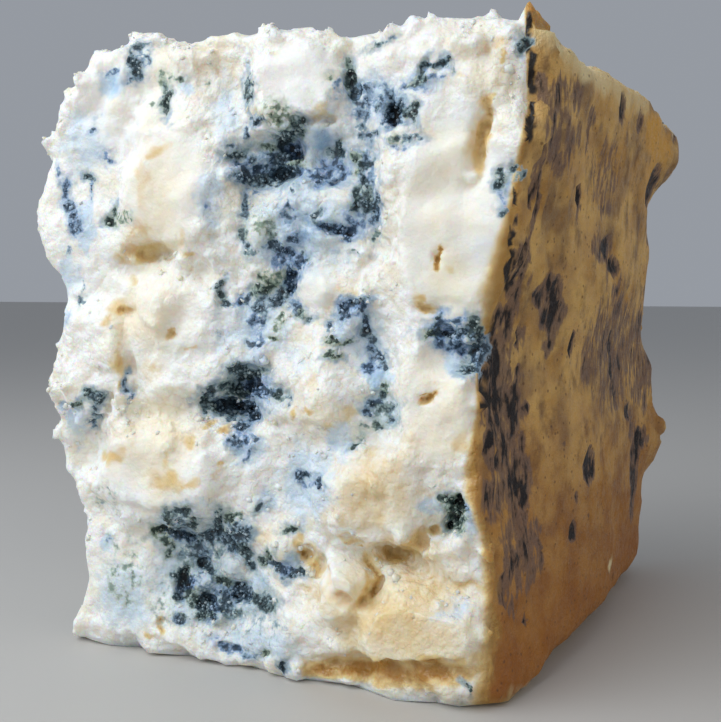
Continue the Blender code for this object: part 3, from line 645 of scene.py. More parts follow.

# Painted shade and glow: tan and ochre painted where shade falls in hollows and under ledges and overhangs,
# and where light glows through thin paste: across, up, half-width, half-height, turn, and strength, which
# is 1 for tan and 2 for deep ochre.
WARM_SHADE_AND_GLOW = (
    (17.9, 10.8, 1.9, 1.5, 0, 0.5),
    (21.3, 13.8, 1.8, 1.6, 0, 0.5),
    (9.4, 52.2, 1.6, 0.5, 12, 0.9),
    (7.7, 49, 0.8, 3.2, 0, 0.6),
    (18.2, 59.2, 0.5, 0.8, 0, 0.4),
    (27, 54.3, 1.9, 0.4, 0, 1.5),
    (27.4, 55.2, 1.1, 0.7, 0, 0.6),
    (28, 58.3, 0.4, 0.4, 0, 1),
    (41.2, 57.2, 0.7, 0.4, 0, 0.7),
    (44.4, 59.6, 1.2, 1.2, -20, 0.6),
    (45, 57.3, 0.5, 0.6, 0, 0.8),
    (37.8, 52.2, 1.2, 0.4, 0, 0.5),
    (43.6, 54.3, 0.45, 1.3, -18, 1.2),
    (43.3, 51.8, 0.7, 1, 0, 1.5),
    (43, 49.9, 0.7, 1.4, 8, 1.1),
    (42.2, 51, 1.1, 2, 0, 0.5),
    (39.2, 41.1, 0.25, 1.2, -20, 1.7),
    (40.3, 39.9, 0.7, 0.3, -15, 0.7),
    (38.2, 36.6, 1.4, 0.6, -8, 1.2),
    (37.5, 37.3, 0.5, 0.8, 0, 0.8),
    (38.2, 28.6, 1, 0.35, 20, 2),
    (7.2, 44, 2.4, 1.5, 0, 0.6),
    (8, 42.3, 3.6, 1, 0, 0.9),
    (7.6, 41.4, 1.5, 0.5, 0, 1.2),
    (5, 41.6, 1.3, 0.5, 0, 0.8),
    (12.9, 41.8, 0.6, 0.35, 20, 1),
    (12.3, 43, 0.5, 1.1, 0, 0.5),
    (15.8, 43.6, 0.6, 0.6, 0, 0.8),
    (6.3, 39.2, 0.7, 0.6, 0, 0.7),
    (5, 36.1, 0.8, 0.4, 20, 1.8),
    (4.2, 36.2, 1.5, 0.9, 25, 0.9),
    (3, 35, 0.9, 0.4, 25, 0.9),
    (4.7, 34, 0.7, 0.7, 0, 0.5),
    (4.6, 30.7, 1.3, 1.3, 0, 1.1),
    (4.5, 32, 0.4, 1.1, 0, 0.7),
    (10.9, 33.9, 1.1, 0.5, 45, 1),
    (8.6, 30.4, 1.4, 1.1, 0, 0.6),
    (13.2, 32.6, 0.35, 0.35, 0, 0.7),
    (4.6, 28.5, 0.7, 0.6, 0, 1.4),
    (12.7, 23, 0.9, 0.9, 0, 1.2),
    (10, 21.4, 0.5, 2.2, 0, 0.5),
    (10.2, 18.6, 2.6, 1, 0, 0.9),
    (12.2, 18.1, 1.8, 0.4, 20, 0.9),
    (8.4, 17, 1.8, 1.6, 0, 0.35),
    (3.6, 20.7, 1.6, 0.8, 8, 1.1),
    (16.3, 21, 0.3, 0.4, 0, 1),
    (16.4, 19.6, 0.25, 0.9, 0, 0.6),
    (14.9, 24.9, 0.9, 0.4, 10, 1),
    (17.3, 24.3, 0.8, 0.6, 0, 1.7),
    (17.2, 29, 0.9, 0.9, 0, 1.9),
    (30.6, 26.6, 0.9, 0.9, -30, 0.7),
    (26.4, 26.3, 0.7, 0.4, 0, 1.2),
    (28.5, 25.2, 1.3, 0.3, 0, 0.7),
    (24.6, 26.6, 0.3, 0.6, 0, 1.3),
    (26.6, 29.2, 0.5, 1.6, 0, 0.4),
    (30.6, 38, 2, 0.6, -8, 0.5),
    (36.8, 24.4, 0.8, 1, 0, 0.5),
    (41.6, 24.4, 0.8, 1.2, 0, 0.7),
    (39.8, 19.1, 0.5, 0.4, 0, 1),
    (31.6, 17.9, 1.7, 0.9, 0, 0.6),
    (33.4, 16.7, 0.9, 1.2, 0, 0.5),
    (38.4, 16.1, 1.4, 0.5, 12, 1.1),
    (37.4, 14.6, 1, 1.3, 0, 1.2),
    (35.2, 13.6, 1.9, 0.8, -4, 1.2),
    (33.4, 13, 0.8, 0.6, 0, 0.8),
    (30.7, 14.5, 1.4, 0.45, 0, 1),
    (31.4, 13.6, 0.5, 0.15, -10, 1.9),
    (32.6, 12, 0.45, 0.9, 20, 1.8),
    (33.1, 10.9, 0.5, 0.9, 0, 1.6),
    (32.8, 9.6, 0.5, 1, -30, 1.6),
    (32, 8.5, 0.9, 0.45, 20, 1.4),
    (31.2, 7.6, 0.3, 0.6, 0, 1),
    (25.8, 12.5, 1.3, 0.9, 20, 1.1),
    (27, 11.5, 0.9, 1.5, -15, 0.9),
    (27.4, 8.8, 2.4, 2, 0, 0.5),
    (25.6, 12.5, 0.7, 0.5, 0, 1.8),
    (26.6, 12, 1, 0.35, 0, 1.5),
    (25.2, 14.1, 0.5, 1, 0, 0.9),
    (42.2, 11.3, 1.7, 0.35, 5, 0.8),
    (9.4, 3.9, 0.7, 0.5, 20, 1.7),
    (9, 3, 0.5, 0.6, 0, 1.6),
    (7.4, 2.3, 0.9, 0.35, -10, 1.3),
    (7.6, 5.4, 1.4, 1.6, 0, 0.4),
    (21.4, 2.1, 0.8, 0.35, 15, 1.2),
    # painted shade on the smooth band under the ledge along the base at the lower right
    (27.6, 1.2, 2.6, 1, 0, 1.9),  # smooth band under the ledge at the lower right
    (33, 2.1, 5, 1.3, 3, 2.2),
    (38.5, 2.7, 4, 1.3, 4, 2),
    (41.8, 3.2, 1.6, 1.2, 0, 1.4),
    # broad tan over the lower right: the paste's yellower tone there, and painted shade that darkens the
    # lower part
    (34, 7, 7, 3.4, 0, 0.66),
    (38.4, 10.4, 4.4, 3, 0, 0.56),
    (36.6, 14, 4, 2, 0, 0.6),
    (33.6, 20.4, 5, 3.4, 0, 0.6),
    (30, 16.6, 3.4, 1.6, 0, 0.5),
    (43.4, 4.2, 1.6, 1.4, 0, 0.8),
    (44.6, 5, 1.2, 1.2, 0, 0.8),
)

# Small torn holes with ochre painted inside as shade and glow, with a crisp edge, in the same columns.
TORN_HOLE_SHADE = (
    (39.3, 41.3, 0.3, 1.1, -20, 2),
    (39, 40.4, 0.35, 0.5, 0, 1.8),
    (38.2, 36.5, 1.2, 0.45, -8, 1.3),
    (37.7, 37.2, 0.45, 0.7, 0, 1.1),
    (38.2, 28.6, 0.9, 0.35, 20, 2.2),
    (43.8, 54.6, 0.4, 1.2, -12, 1.3),
    (43.4, 52.2, 0.65, 1.3, -4, 1.4),
    (43.3, 50.6, 0.3, 0.8, 8, 1.2),
    (45.1, 58.6, 0.35, 0.7, -10, 1.2),
    (5, 36.1, 0.6, 0.35, 20, 1.6),
    (10.9, 33.9, 0.8, 0.4, 45, 1.1),
    (17.3, 24.3, 0.6, 0.4, 0, 1.5),
    (32.8, 11.8, 0.3, 1.2, 12, 1.5),
    (32.9, 9.7, 0.3, 0.9, -25, 1.5),
    (32, 8.5, 0.7, 0.25, 35, 1.3),
    (36.4, 14.2, 0.9, 0.6, -10, 1.2),
    (34.6, 13.4, 1.3, 0.4, -6, 1.3),
    (25.6, 12.5, 0.5, 0.4, 0, 1.6),
)

# Smooth, fudgy areas of the broken face: across, up, half-width, half-height, and how smooth, up to 1 for
# no loose curds at all.
SMOOTH_AREAS = (
    (41, 44, 6.5, 13, 0.92),
    (39.5, 28, 4.5, 7, 0.7),
    (10, 49, 6, 7.5, 0.8),
    (25, 58.5, 5, 3.5, 0.85),
    (8.5, 19.5, 8.5, 5.5, 0.65),
    (33.5, 19, 6.5, 5, 0.4),
    (36, 6, 10, 6, 0.3),
    (30.3, 9.5, 3.6, 4.2, 0.6),
    (26.8, 38.6, 2.6, 2.6, 0.8),
    (8, 35, 9, 8, 0.5),
    (6, 57.5, 8, 7, 0.7),
    (36.5, 57, 8, 6.5, 0.5),
    (0, 45, 6, 14, 0.5),
    (6, 8, 8, 7, 0.5),
)

# Where the paste ends and the rind begins, as across at each height, in mm.
RIND_BORDER = (
    (0, 44.2), (4, 44.9), (8, 45.1), (12, 44.9), (16, 44.4), (18, 43.6), (20, 42.8), (22, 42.8),
    (24, 43), (27, 43.4), (30, 43.2), (32, 43.4), (34, 43.7), (36, 44.4), (37.5, 45.2), (40, 45.6),
    (44, 46), (47, 46.4), (49, 46.8), (51, 47.2), (54, 47.6), (60, 47.4), (64, 47.2),
)

# How far the left outline of the broken face is drawn in, in mm at each height.
LEFT_INSET = (
    (0, 0.3), (3, 1.2), (8, 1.9), (13, 1.4), (18, 0.6), (23, 0.6), (28, 1.6), (33, 2.0),
    (38, 1.6), (43, 0.8), (48, 0.2), (54, 0.2), (57, 0.6), (60, 1.6), (64, 3.0),
)

# Ochre skin that fades from the border into the paste: width in mm at each height.
# Near the base it is widened, so its darker ochre also paints shade over the lit rounded edge there.
BORDER_FADE = (
    (0, 2.8), (6, 2.3), (12, 2.0), (17, 1.6), (21, 1.6), (25, 1.2), (28, 0.7), (34, 0.6),
    (36, 1.6), (38, 3.4), (41, 2.6), (44, 1.4), (47, 0.9), (50, 0.9), (52, 0.9), (54, 0.5),
    (64, 0.5),
)

# Marks in the rind: back from the broken face, up, half-depth, half-height and strength, from 0.2 for a
# violet-grey haze to 1 for black.
RIND_MARKS = (
    (3.6, 50.2, 0.3, 1.6, 0.8),  # crack down from the top
    (4.2, 47.4, 0.35, 1.8, 0.85),
    (5.6, 45, 0.35, 1.6, 0.7),
    (5, 55.5, 2.5, 1.8, 0.42),
    (8, 53, 5, 5, 0.3),
    (1.6, 43.5, 0.35, 1.4, 0.9),  # dark line beside the paste
    (3, 41, 0.45, 1.2, 0.9),
    (3.6, 39.6, 0.5, 1.1, 0.95),
    (4.4, 38.2, 0.6, 0.9, 1),
    (5.2, 36.5, 0.25, 1.2, 0.8),
    (6.5, 35.4, 0.3, 1.1, 0.8),
    (4.6, 41.4, 0.8, 1.2, 1),
    (3.3, 35.6, 0.4, 0.7, 0.9),
    (5.6, 34.6, 1.2, 0.9, 0.55),
    (5, 38, 2.6, 4.6, 0.5),  # streaked stretch near the corner
    (4.6, 31, 3.2, 5.4, 0.55),
    (6.6, 26, 3.4, 5, 0.58),
    (8.6, 20.6, 2.6, 4.4, 0.55),
    (8.7, 34, 0.7, 1.2, 1),
    (5.8, 30.6, 0.5, 3.2, 0.95),
    (3, 28.6, 0.35, 3, 0.9),
    (4.2, 28.4, 0.35, 0.6, 0.9),
    (9, 29.8, 0.5, 1.4, 0.7),
    (8.8, 27.2, 1, 1.1, 0.9),
    (10.6, 27.2, 0.7, 0.7, 0.75),
    (6.5, 25.5, 3.6, 3.2, 0.5),  # violet grey stretch near the corner
    (3.2, 24.6, 0.5, 1.8, 0.85),
    (6.8, 25, 0.45, 1.4, 0.95),
    (9.1, 25.6, 0.5, 1.8, 0.9),
    (5, 22.6, 1, 0.8, 0.95),
    (7, 21.3, 0.7, 1, 0.9),
    (9.9, 22.4, 0.5, 2.4, 0.9),
    (10, 19.2, 0.6, 1.4, 1),
    (8.2, 19.4, 0.4, 0.7, 0.7),
    (5, 19, 3, 2.4, 0.45),
    (8, 14, 3.6, 4.6, 0.45),
    (11.6, 15.2, 0.5, 1, 0.7),
    (12.2, 13.2, 0.8, 1.4, 0.9),
    (12.3, 11.4, 0.6, 1, 0.6),
    (4.6, 10.8, 0.9, 1.8, 0.55),
    (6.2, 9.2, 0.7, 1.8, 0.55),
    (13.3, 9.1, 0.6, 1, 0.55),
    (8.4, 6.9, 0.4, 0.9, 0.8),
    (16.5, 47.3, 1, 1, 1),
    (17, 45.6, 1, 1, 0.4),
    (15.6, 54.4, 1.2, 1.8, 0.6),
    (16, 51.6, 0.9, 1, 0.4),
    (25.8, 57.3, 1.2, 1.9, 0.7),
    (33.5, 57, 1.2, 1.4, 0.55),
    (24.8, 46.4, 0.6, 1, 0.6),
    (26.6, 42.8, 2.2, 1.4, 0.95),
    (29.8, 40.8, 2.4, 1, 0.95),
    (23.5, 42.6, 2.4, 2, 0.4),
    (12.6, 38, 2.8, 1.7, 0.68),  # violet grey mass
    (14.3, 36, 2.4, 2, 0.72),
    (14.6, 33.8, 1.1, 1.6, 0.7),
    (36, 31.5, 15, 8, 0.3),  # greyer far half of the rind
    (52, 29, 8, 8, 0.3),
    (24, 50, 7, 5, 0.2),
    (10.8, 37.7, 0.5, 0.9, 0.85),
    (13.2, 35.1, 0.4, 1, 0.8),
    (13.2, 38.5, 0.8, 0.7, 0.7),
    (15, 38.8, 0.4, 0.9, 0.75),
    (20.2, 36, 0.6, 1, 0.9),
    (19.4, 32.4, 0.7, 1.5, 0.85),
    (20, 30.8, 0.8, 0.7, 0.5),
    (32.8, 38.4, 0.8, 0.7, 0.7),
    (34.6, 36.2, 1.8, 1.4, 0.62),
    (26.4, 34.6, 1.6, 1, 0.4),
    (28, 31, 6, 4, 0.36),
    (32.6, 32.2, 1.4, 1.6, 0.9),
    (34.2, 29.8, 1.4, 1.8, 0.85),
    (36, 27.4, 1.4, 1.8, 0.8),
    (37.6, 25.2, 1.6, 1.4, 0.85),
    (45, 23.2, 2.6, 1.1, 0.95),
    (48, 20.5, 2.2, 1.8, 0.5),
    (46, 33, 3.4, 1.6, 0.45),
    (52, 34, 3, 2, 0.5),
    (50, 51, 4.2, 2.6, 0.88),
    (53, 47, 2.6, 3, 0.55),
    (50, 14, 2.6, 5.4, 0.7),
    (52, 18.6, 2.6, 1.7, 0.8),
    (56, 58.5, 1.2, 1.7, 0.6),
    (56, 40, 1.6, 3, 0.5),
    (24.6, 19.2, 1.8, 2, 0.9),
    (17.6, 22.6, 0.45, 0.5, 0.6),
    (14.6, 21.6, 0.35, 0.4, 0.5),
    (20.8, 16.8, 0.6, 0.9, 0.85),
    (19.6, 13.3, 1.2, 1, 0.85),
    (25.2, 13.4, 0.7, 0.7, 0.45),
)

# Paler stretches of the rind: back, up, half-depth, half-height, strength, and tint, from 0 for cream to
# 1 for gold.
RIND_PALE = (
    (3.4, 60.4, 2.4, 2, 0.8, 0.1),
    (6, 59.6, 2, 1.6, 0.9, 0),
    (11, 59.6, 6, 2.6, 1, 0.1),
    (18, 58.8, 6, 2.6, 1, 0.2),
    (25, 59, 6, 2.4, 1, 0.3),
    (32, 59.4, 6, 2.4, 0.9, 0.3),
    (17, 56.4, 6, 2.4, 0.45, 0.8),
    (2.2, 57, 1, 5, 0.6, 0.8),
    (42, 57, 8, 3, 1, 1),
    (50, 56, 7, 3, 0.8, 1),
    (47, 52, 9, 5, 0.7, 1),
    (1.6, 39.6, 2, 3.6, 0.9, 1),
    (0.8, 48.6, 1, 2, 0.8, 0.9),
    (1.5, 5.4, 1.8, 3.4, 0.7, 1),
    (1.8, 12, 1.2, 6, 0.6, 0.9),
    (35.2, 6.2, 1.4, 1.2, 1, 0),
)

# Stretches of creamier, yellower paste on the broken face: across, up, half-width, half-height, strength.
CREAM_AREAS = (
    (40, 44, 7, 13, 0.45),
    (38.5, 27, 6, 8, 0.65),
    (33, 18.5, 7, 5, 0.75),
    (36, 7, 12, 10, 1),
    (27, 26, 5, 4, 0.5),
    (10, 48, 6, 9, 0.6),
    (8.5, 36, 8, 7, 0.6),
    (9, 22, 8, 8, 0.65),
    (44, 56, 4, 6, 0.4),
    (14, 60.5, 7, 4, 0.25),
    (26, 38.5, 3, 3, 0.25),
)


# ----------------------------------------------------------------------------------------- helpers


def smoothstep(value):
    t = np.clip(value, 0.0, 1.0)
    return t * t * (3 - 2 * t)


def read_points(mesh):
    flat = np.empty(len(mesh.vertices) * 3, np.float32)
    mesh.vertices.foreach_get("co", flat)
    return flat.reshape(-1, 3).astype(float)


def read_normals(mesh):
    flat = np.empty(len(mesh.vertices) * 3, np.float32)
    mesh.vertex_normals.foreach_get("vector", flat)
    return flat.reshape(-1, 3).astype(float)


def write_points(mesh, points):
    mesh.vertices.foreach_set("co", points.astype(np.float32).ravel())
    mesh.update()


def write_attribute(mesh, name, values):
    attribute = mesh.attributes.new(name, "FLOAT", "POINT")
    attribute.data.foreach_set("value", np.asarray(values, np.float32))


def select_only(piece):
    bpy.ops.object.select_all(action="DESELECT")
    piece.select_set(True)
    bpy.context.view_layer.objects.active = piece


def apply_modifiers(piece):
    select_only(piece)
    for name in [modifier.name for modifier in piece.modifiers]:
        bpy.ops.object.modifier_apply(modifier=name)


def new_piece(name, mesh):
    piece = bpy.data.objects.new(name, mesh)
    bpy.context.scene.collection.objects.link(piece)
    return piece


def cloud(points, size, seed, octaves=3):
    """Soft noise of about -1 to 1 at each point, with lumps of the size given."""
    offset = Vector((seed, seed * 0.7, -seed))
    return np.array([noise.fractal(Vector(p) + offset, 0.8, 2.0, octaves) for p in points / size])


def warped(points, size, amount, seed):
    """The points moved by soft noise, so that a pattern read there comes out uneven."""
    offset = Vector((seed, -seed, seed * 0.3))
    return points + amount * np.array([noise.noise_vector(Vector(p) + offset) for p in points / size])


def curd_cells(points, size, seed):
    """0 in the creases between cells of the size given, rising to about 1 at their middles."""
    offset = Vector((seed, seed * 1.3, seed))
    found = [noise.voronoi(Vector(p) + offset)[0] for p in points / size]
    return np.array([far - near for near, far, _, _ in found])


def seen(points):
    """Across and up where a line from the camera's place through each point meets the face's middle."""
    share = (FACE_DEPTH - CAMERA_PLACE.y) / (points[:, 1] - CAMERA_PLACE.y)
    across = CAMERA_PLACE.x + (points[:, 0] - CAMERA_PLACE.x) * share
    up = CAMERA_PLACE.z + (points[:, 2] - CAMERA_PLACE.z) * share
    return (across - NOSE_CORNER) / MM, up / MM


def back_and_up(points):
    return (points[:, 1] - CAD_LOW.y) / MM, points[:, 2] / MM


def oval(first, second, centre_1, centre_2, half_1, half_2, turn=0.0):
    """1 at the middle of an oval, 0 on its outline and less beyond it."""
    cosine, sine = math.cos(math.radians(turn)), math.sin(math.radians(turn))
    along = (first - centre_1) * cosine + (second - centre_2) * sine
    beside = (second - centre_2) * cosine - (first - centre_1) * sine
    return 1 - np.hypot(along / half_1, beside / half_2)


def strongest(first, second, rows, rim=0.8, beyond=0.0):
    """The strength of the strongest oval at each point. A row ends with an oval's strength."""
    total = np.zeros(len(first))
    for *place, strength in rows:
        inside = oval(first, second, *place)
        total = np.maximum(total, strength * smoothstep((inside + beyond) / rim))
    return total


# --------------------------------------------------------------------------------------- the shape


def joined_copy(name):
    """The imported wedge's triangles as one closed skin."""
    piece = new_piece(name, CAD_WEDGE.data.copy())
    select_only(piece)
    bpy.ops.object.mode_set(mode="EDIT")
    bpy.ops.mesh.select_all(action="SELECT")
    bpy.ops.mesh.remove_doubles(threshold=1e-6)
    bpy.ops.object.mode_set(mode="OBJECT")
    return piece


def remeshed(piece, voxel):
    """The piece's skin as even quads, with points and quads in an order that is the same at each run."""
    remesh = piece.modifiers.new("remesh", "REMESH")
    remesh.mode = "VOXEL"
    remesh.voxel_size = voxel
    apply_modifiers(piece)
    points = read_points(piece.data)
    order = np.lexsort(points.T)
    rank = np.empty(len(order), int)
    rank[order] = np.arange(len(order))
    corners = np.empty(len(piece.data.loops), np.int32)
    piece.data.loops.foreach_get("vertex_index", corners)
    quads = rank[corners].reshape(-1, 4)
    turns = (quads.argmin(axis=1)[:, None] + np.arange(4)) % 4
    quads = np.take_along_axis(quads, turns, axis=1)
    quads = quads[np.lexsort(quads.T[::-1])]
    skin = bpy.data.meshes.new(piece.name)
    skin.from_pydata(points[order].tolist(), [], quads.tolist())
    skin.update()
    piece.data = skin
    return piece


def smooth_core():
    """A rounded block that tells which way the side under any point looks."""
    core = remeshed(joined_copy("core"), CORE_VOXEL)
    smooth = core.modifiers.new("smooth", "SMOOTH")
    smooth.iterations = 12
    smooth.factor = 0.5
    apply_modifiers(core)
    return core


class Sides:
    """How much of a point belongs to each side of the wedge, from 0 to 1, and its outward direction."""

    def __init__(self, core, points):
        tree = BVHTree.FromObject(core, bpy.context.evaluated_depsgraph_get())
        self.normal = np.array([tree.find_nearest(Vector(p))[1] for p in points])
        self.front = smoothstep((-self.normal[:, 1] - 0.1) / 0.3)
        self.top = smoothstep((self.normal[:, 2] - 0.5) / 0.3)
        near_floor = smoothstep((1.0 * MM - points[:, 2]) / (0.8 * MM))
        self.base = smoothstep((-self.normal[:, 2] - 0.3) / 0.3) * near_floor
        self.rind = self.rind_share(points)
        self.broken = (1 - self.rind) * (1 - self.base)

    def rind_share(self, points):
        """1 on the rind: all of its side, up to its uneven border along the broken face."""
        sideways, height = seen(points)
        heights, borders = np.array(RIND_BORDER).T
        wander = 0.5 * cloud(points * (1, 1, 0.6), 1.6 * MM, 3.0)
        past_border = smoothstep((sideways - np.interp(height, heights, borders) + wander) / 0.5 + 0.5)
        depth = (points[:, 1] - CAD_LOW.y) / MM
        near_corner = smoothstep((14 - depth) / 6)
        level = np.linalg.norm(np.clip(self.normal, (-1, -1, 0), 1), axis=1)
        turned = self.normal[:, 0] / np.maximum(level, 0.3) - 0.62 + 0.55 * near_corner
        return past_border * smoothstep(turned / 0.22) * (1 - self.top) * (1 - self.base)


def press_relief(piece, core):
    """Presses the deep hollows into the broken face, raises its blocks and lumps, draws in its left
    outline and trims the rind's top edge."""
    points = read_points(piece.data)
    sides = Sides(core, points)
    uneven = warped(points, 2.4 * MM, 0.55 * MM, 4.0)
    sideways, height = seen(uneven)
    depth = np.zeros(len(points))
    for *place, deep in HOLES:
        depth = np.maximum(depth, deep * smoothstep(oval(sideways, height, *place) / 0.7 + 0.35))
    raised = np.zeros(len(points))
    for centre_x, centre_z, half_width, half_height, out in LUMPS:
        reach = 1 - oval(sideways, height, centre_x, centre_z, half_width, half_height)
        raised = np.maximum(raised, out * np.sqrt(np.clip(1 - reach**2, 0, 1)))
    steps = np.zeros(len(points))
    for centre_x, centre_z, half_width, half_height, out in SLABS:
        along = np.abs((sideways - centre_x) / half_width) ** 3
        beside = np.abs((height - centre_z) / half_height) ** 3
        within = (1 - np.cbrt(np.hypot(along, beside))) * min(half_width, half_height)
        steps += out * smoothstep(within / 0.7 + 0.5)
    back, up = back_and_up(points)
    ragged = np.clip(0.5 + cloud(points * (1, 1, 0.3), 2.4 * MM, 33.0, 2), 0, None)
    ragged_foot = smoothstep((2.2 - up) / 1.6) * ragged
    points[:, 1] += (depth - raised - steps + 1.1 * ragged_foot) * MM * sides.front
    ups, insets = np.array(LEFT_INSET).T
    near_left = smoothstep((9 - sideways) / 8) * smoothstep((30 - back) / 12)
    points[:, 0] += np.interp(up, ups, insets) * MM * near_left
    trim = smoothstep((back - 3) / 4) * smoothstep((27 - back) / 7) * smoothstep((up - 55) / 5)
    points[:, 2] -= 1.3 * MM * trim * smoothstep(sides.normal[:, 0] + 0.2)
    write_points(piece.data, points)


def ball(seed, rings, roughness):
    """One irregular curd, crumb or grain about 2 across, of a few dozen faces."""
    bpy.ops.object.select_all(action="DESELECT")
    bpy.ops.mesh.primitive_uv_sphere_add(segments=rings + 1, ring_count=rings, radius=1.0)
    lump = bpy.context.object
    points = read_points(lump.data)
    rough = np.array([noise.noise(Vector(p) * 1.1 + Vector((seed * 7.3, -seed, seed))) for p in points])
    points *= (1 + roughness * rough)[:, None]
    faces = [tuple(face.vertices) for face in lump.data.polygons]
    bpy.data.objects.remove(lump, do_unlink=True)
    return points, faces


def joined_copies(name, shapes, placings):
    """One mesh of many copies. A placing is (which shape, 3 by 3 turn and scale, place)."""
    all_points, all_faces, start = [], [], 0
    for which, turn, place in placings:
        points, faces = shapes[which]
        all_points.append(points @ turn.T + place)
        all_faces.extend(tuple(corner + start for corner in face) for face in faces)
        start += len(points)
    mesh = bpy.data.meshes.new(name)
    mesh.from_pydata(np.concatenate(all_points).tolist(), [], all_faces)
    mesh.update()
    return new_piece(name, mesh)


def random_turn(rng, radius, flatness):
    """A random turn with a scale for each axis, as a 3 by 3 array."""
    turn = Euler([rng.uniform(0, math.tau) for _ in range(3)]).to_matrix()
    scale = np.diag([radius * rng.uniform(flatness, 1.0) for _ in range(3)])
    return np.array(turn) @ scale


def crumbly_share(points, sides):
    """1 where the broken faces are all loose curd, down to 0.15 where they are smooth and fudgy."""
    sideways, height = seen(points)
    smooth = strongest(sideways, height, SMOOTH_AREAS, 0.5, 0.1) * sides.front
    elsewhere = smoothstep(cloud(points, 9 * MM, 13.0, 2) + 0.4) * (1 - sides.front)
    return sides.broken * (1 - 0.97 * np.maximum(smooth, elsewhere))


def add_curds(paste, core, rng):
    """Half-buried curds on every broken face, which the next remesh melts into the paste."""
    shapes = [ball(seed, 7, 0.9) for seed in range(8)]
    points, normals = read_points(paste.data), read_normals(paste.data)
    sides = Sides(core, points)
    outline = smoothstep((np.hypot(sides.normal[:, 0], sides.normal[:, 2]) - 0.35) / 0.3) * sides.front
    outline *= smoothstep(points[:, 2] / (6 * MM) - 0.5)
    weights = crumbly_share(points, sides) * smoothstep(cloud(points, 4 * MM, 17.0, 2) + 0.6)
    turned_away = np.maximum(sides.normal[:, 1], sides.normal[:, 2])
    far_edge = smoothstep((sides.normal[:, 0] * turned_away - 0.2) / 0.15)
    weights += 0.9 * outline * sides.broken + 0.5 * far_edge * (1 - sides.base)
    picker = np.random.default_rng(rng.randrange(10**6))
    placings = []
    for index in picker.choice(len(points), size=CURD_COUNT, p=weights / weights.sum()):
        radius = min(MM * 0.55 * math.exp(rng.gauss(0.25, 0.5)), 2.0 * MM)
        sink = rng.uniform(0.4, 0.8) - 0.35 * outline[index]
        sunk = points[index] - normals[index] * radius * sink
        placings.append((rng.randrange(len(shapes)), random_turn(rng, radius, 0.65), sunk))
    curds = joined_copies("curds", shapes, placings)
    bpy.ops.object.select_all(action="DESELECT")
    curds.select_set(True)
    paste.select_set(True)
    bpy.context.view_layer.objects.active = paste
    bpy.ops.object.join()


def crumble(paste, core):
    """Fine relief: breaks, creases, lumps and crumbs on the broken faces, waves and dents on the rind."""
    points = read_points(paste.data)
    normals = read_normals(paste.data)
    sides = Sides(core, points)
    crumbly = crumbly_share(points, sides)
    uneven = warped(points, 3.2 * MM, 1.1 * MM, 8.0)
    terraces = 2.2 * cloud(uneven, 11 * MM, 41.0, 2)
    flat = np.floor(terraces)
    breaks = flat + smoothstep((terraces - flat - 0.36) / 0.28)
    creases = np.minimum(curd_cells(uneven, 3.6 * MM, 2.0), 0.5) / 0.5
    lumps = cloud(points, 2.4 * MM, 6.0, 2)
    crumbs = np.minimum(curd_cells(uneven, 1.2 * MM, 5.0), 0.6) / 0.6
    grains = cloud(points, 0.6 * MM, 12.0, 2)
    loose = crumbly * smoothstep(cloud(points, 4.5 * MM, 23.0, 2) * 1.4 + 0.5)
    mouldy = strongest(*seen(points), [row[:6] for row in MOULD_PATCHES], 1.0, 0.4)
    mouldy *= sides.front * sides.broken
    relief = sides.broken * (0.06 * (breaks - terraces) + 0.05 * lumps + 0.03 * grains)
    relief += crumbly * (0.18 * (breaks - terraces) + 0.22 * (creases - 0.7) + 0.15 * lumps)
    relief += loose * (0.17 * (crumbs - 0.6) + 0.07 * grains)
    relief += mouldy * (0.30 * (crumbs - 0.7) + 0.16 * grains)
    wrinkles = cloud(points * (1, 1, 0.3), 1.8 * MM, 15.0, 3)
    waves = cloud(points, 9 * MM, 19.0, 2)
    near_corner = smoothstep((16 - back_and_up(points)[0]) / 8)
    folds = 0.13 + 0.22 * near_corner
    relief += sides.rind * (0.30 * waves + folds * wrinkles - 0.4 * rind_marks(points, sides))
    points += normals * relief[:, None] * MM
    write_points(paste.data, points)
    return sides


def keep_in_box(piece):
    """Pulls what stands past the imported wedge's box back to it, and flattens the base."""
    points = read_points(piece.data)
    for axis in range(3):
        points[:, axis] = np.clip(points[:, axis], CAD_LOW[axis], CAD_HIGH[axis])
    write_points(piece.data, points)


def thin(piece, triangles, coarseness):
    """Fewer triangles, most of all where the coarseness, from 0 to 1 for each vertex, is high."""
    group = piece.vertex_groups.new(name="coarse")
    levels = np.round(coarseness * 10).astype(int)
    for level in range(1, 11):
        members = np.flatnonzero(levels == level)
        if len(members):
            group.add(members.tolist(), level / 10, "REPLACE")
    have = sum(len(face.vertices) - 2 for face in piece.data.polygons)
    thinner = piece.modifiers.new("thinner", "DECIMATE")
    thinner.ratio = min(1.0, triangles / have)
    thinner.vertex_group = group.name
    thinner.vertex_group_factor = 1.0
    apply_modifiers(piece)
    piece.vertex_groups.clear()


def hollowness(mesh, rounds):
    """How far each point lies below its surroundings, in mm. More rounds take in wider surroundings."""
    points, normals = read_points(mesh), read_normals(mesh)
    ends = np.empty(len(mesh.edges) * 2, np.int32)
    mesh.edges.foreach_get("vertices", ends)
    one, other = ends.reshape(-1, 2).T
    count = np.bincount(ends, minlength=len(points))[:, None]
    mean = points.copy()
    for _ in range(rounds):
        total = [np.bincount(one, mean[other, axis], len(points)) for axis in range(3)]
        total = [t + np.bincount(other, mean[one, axis], len(points)) for axis, t in enumerate(total)]
        mean = 0.4 * mean + 0.6 * np.stack(total, axis=1) / count
    return ((mean - points) * normals).sum(axis=1) / MM


# -------------------------------------------------------------------------- where each finish goes


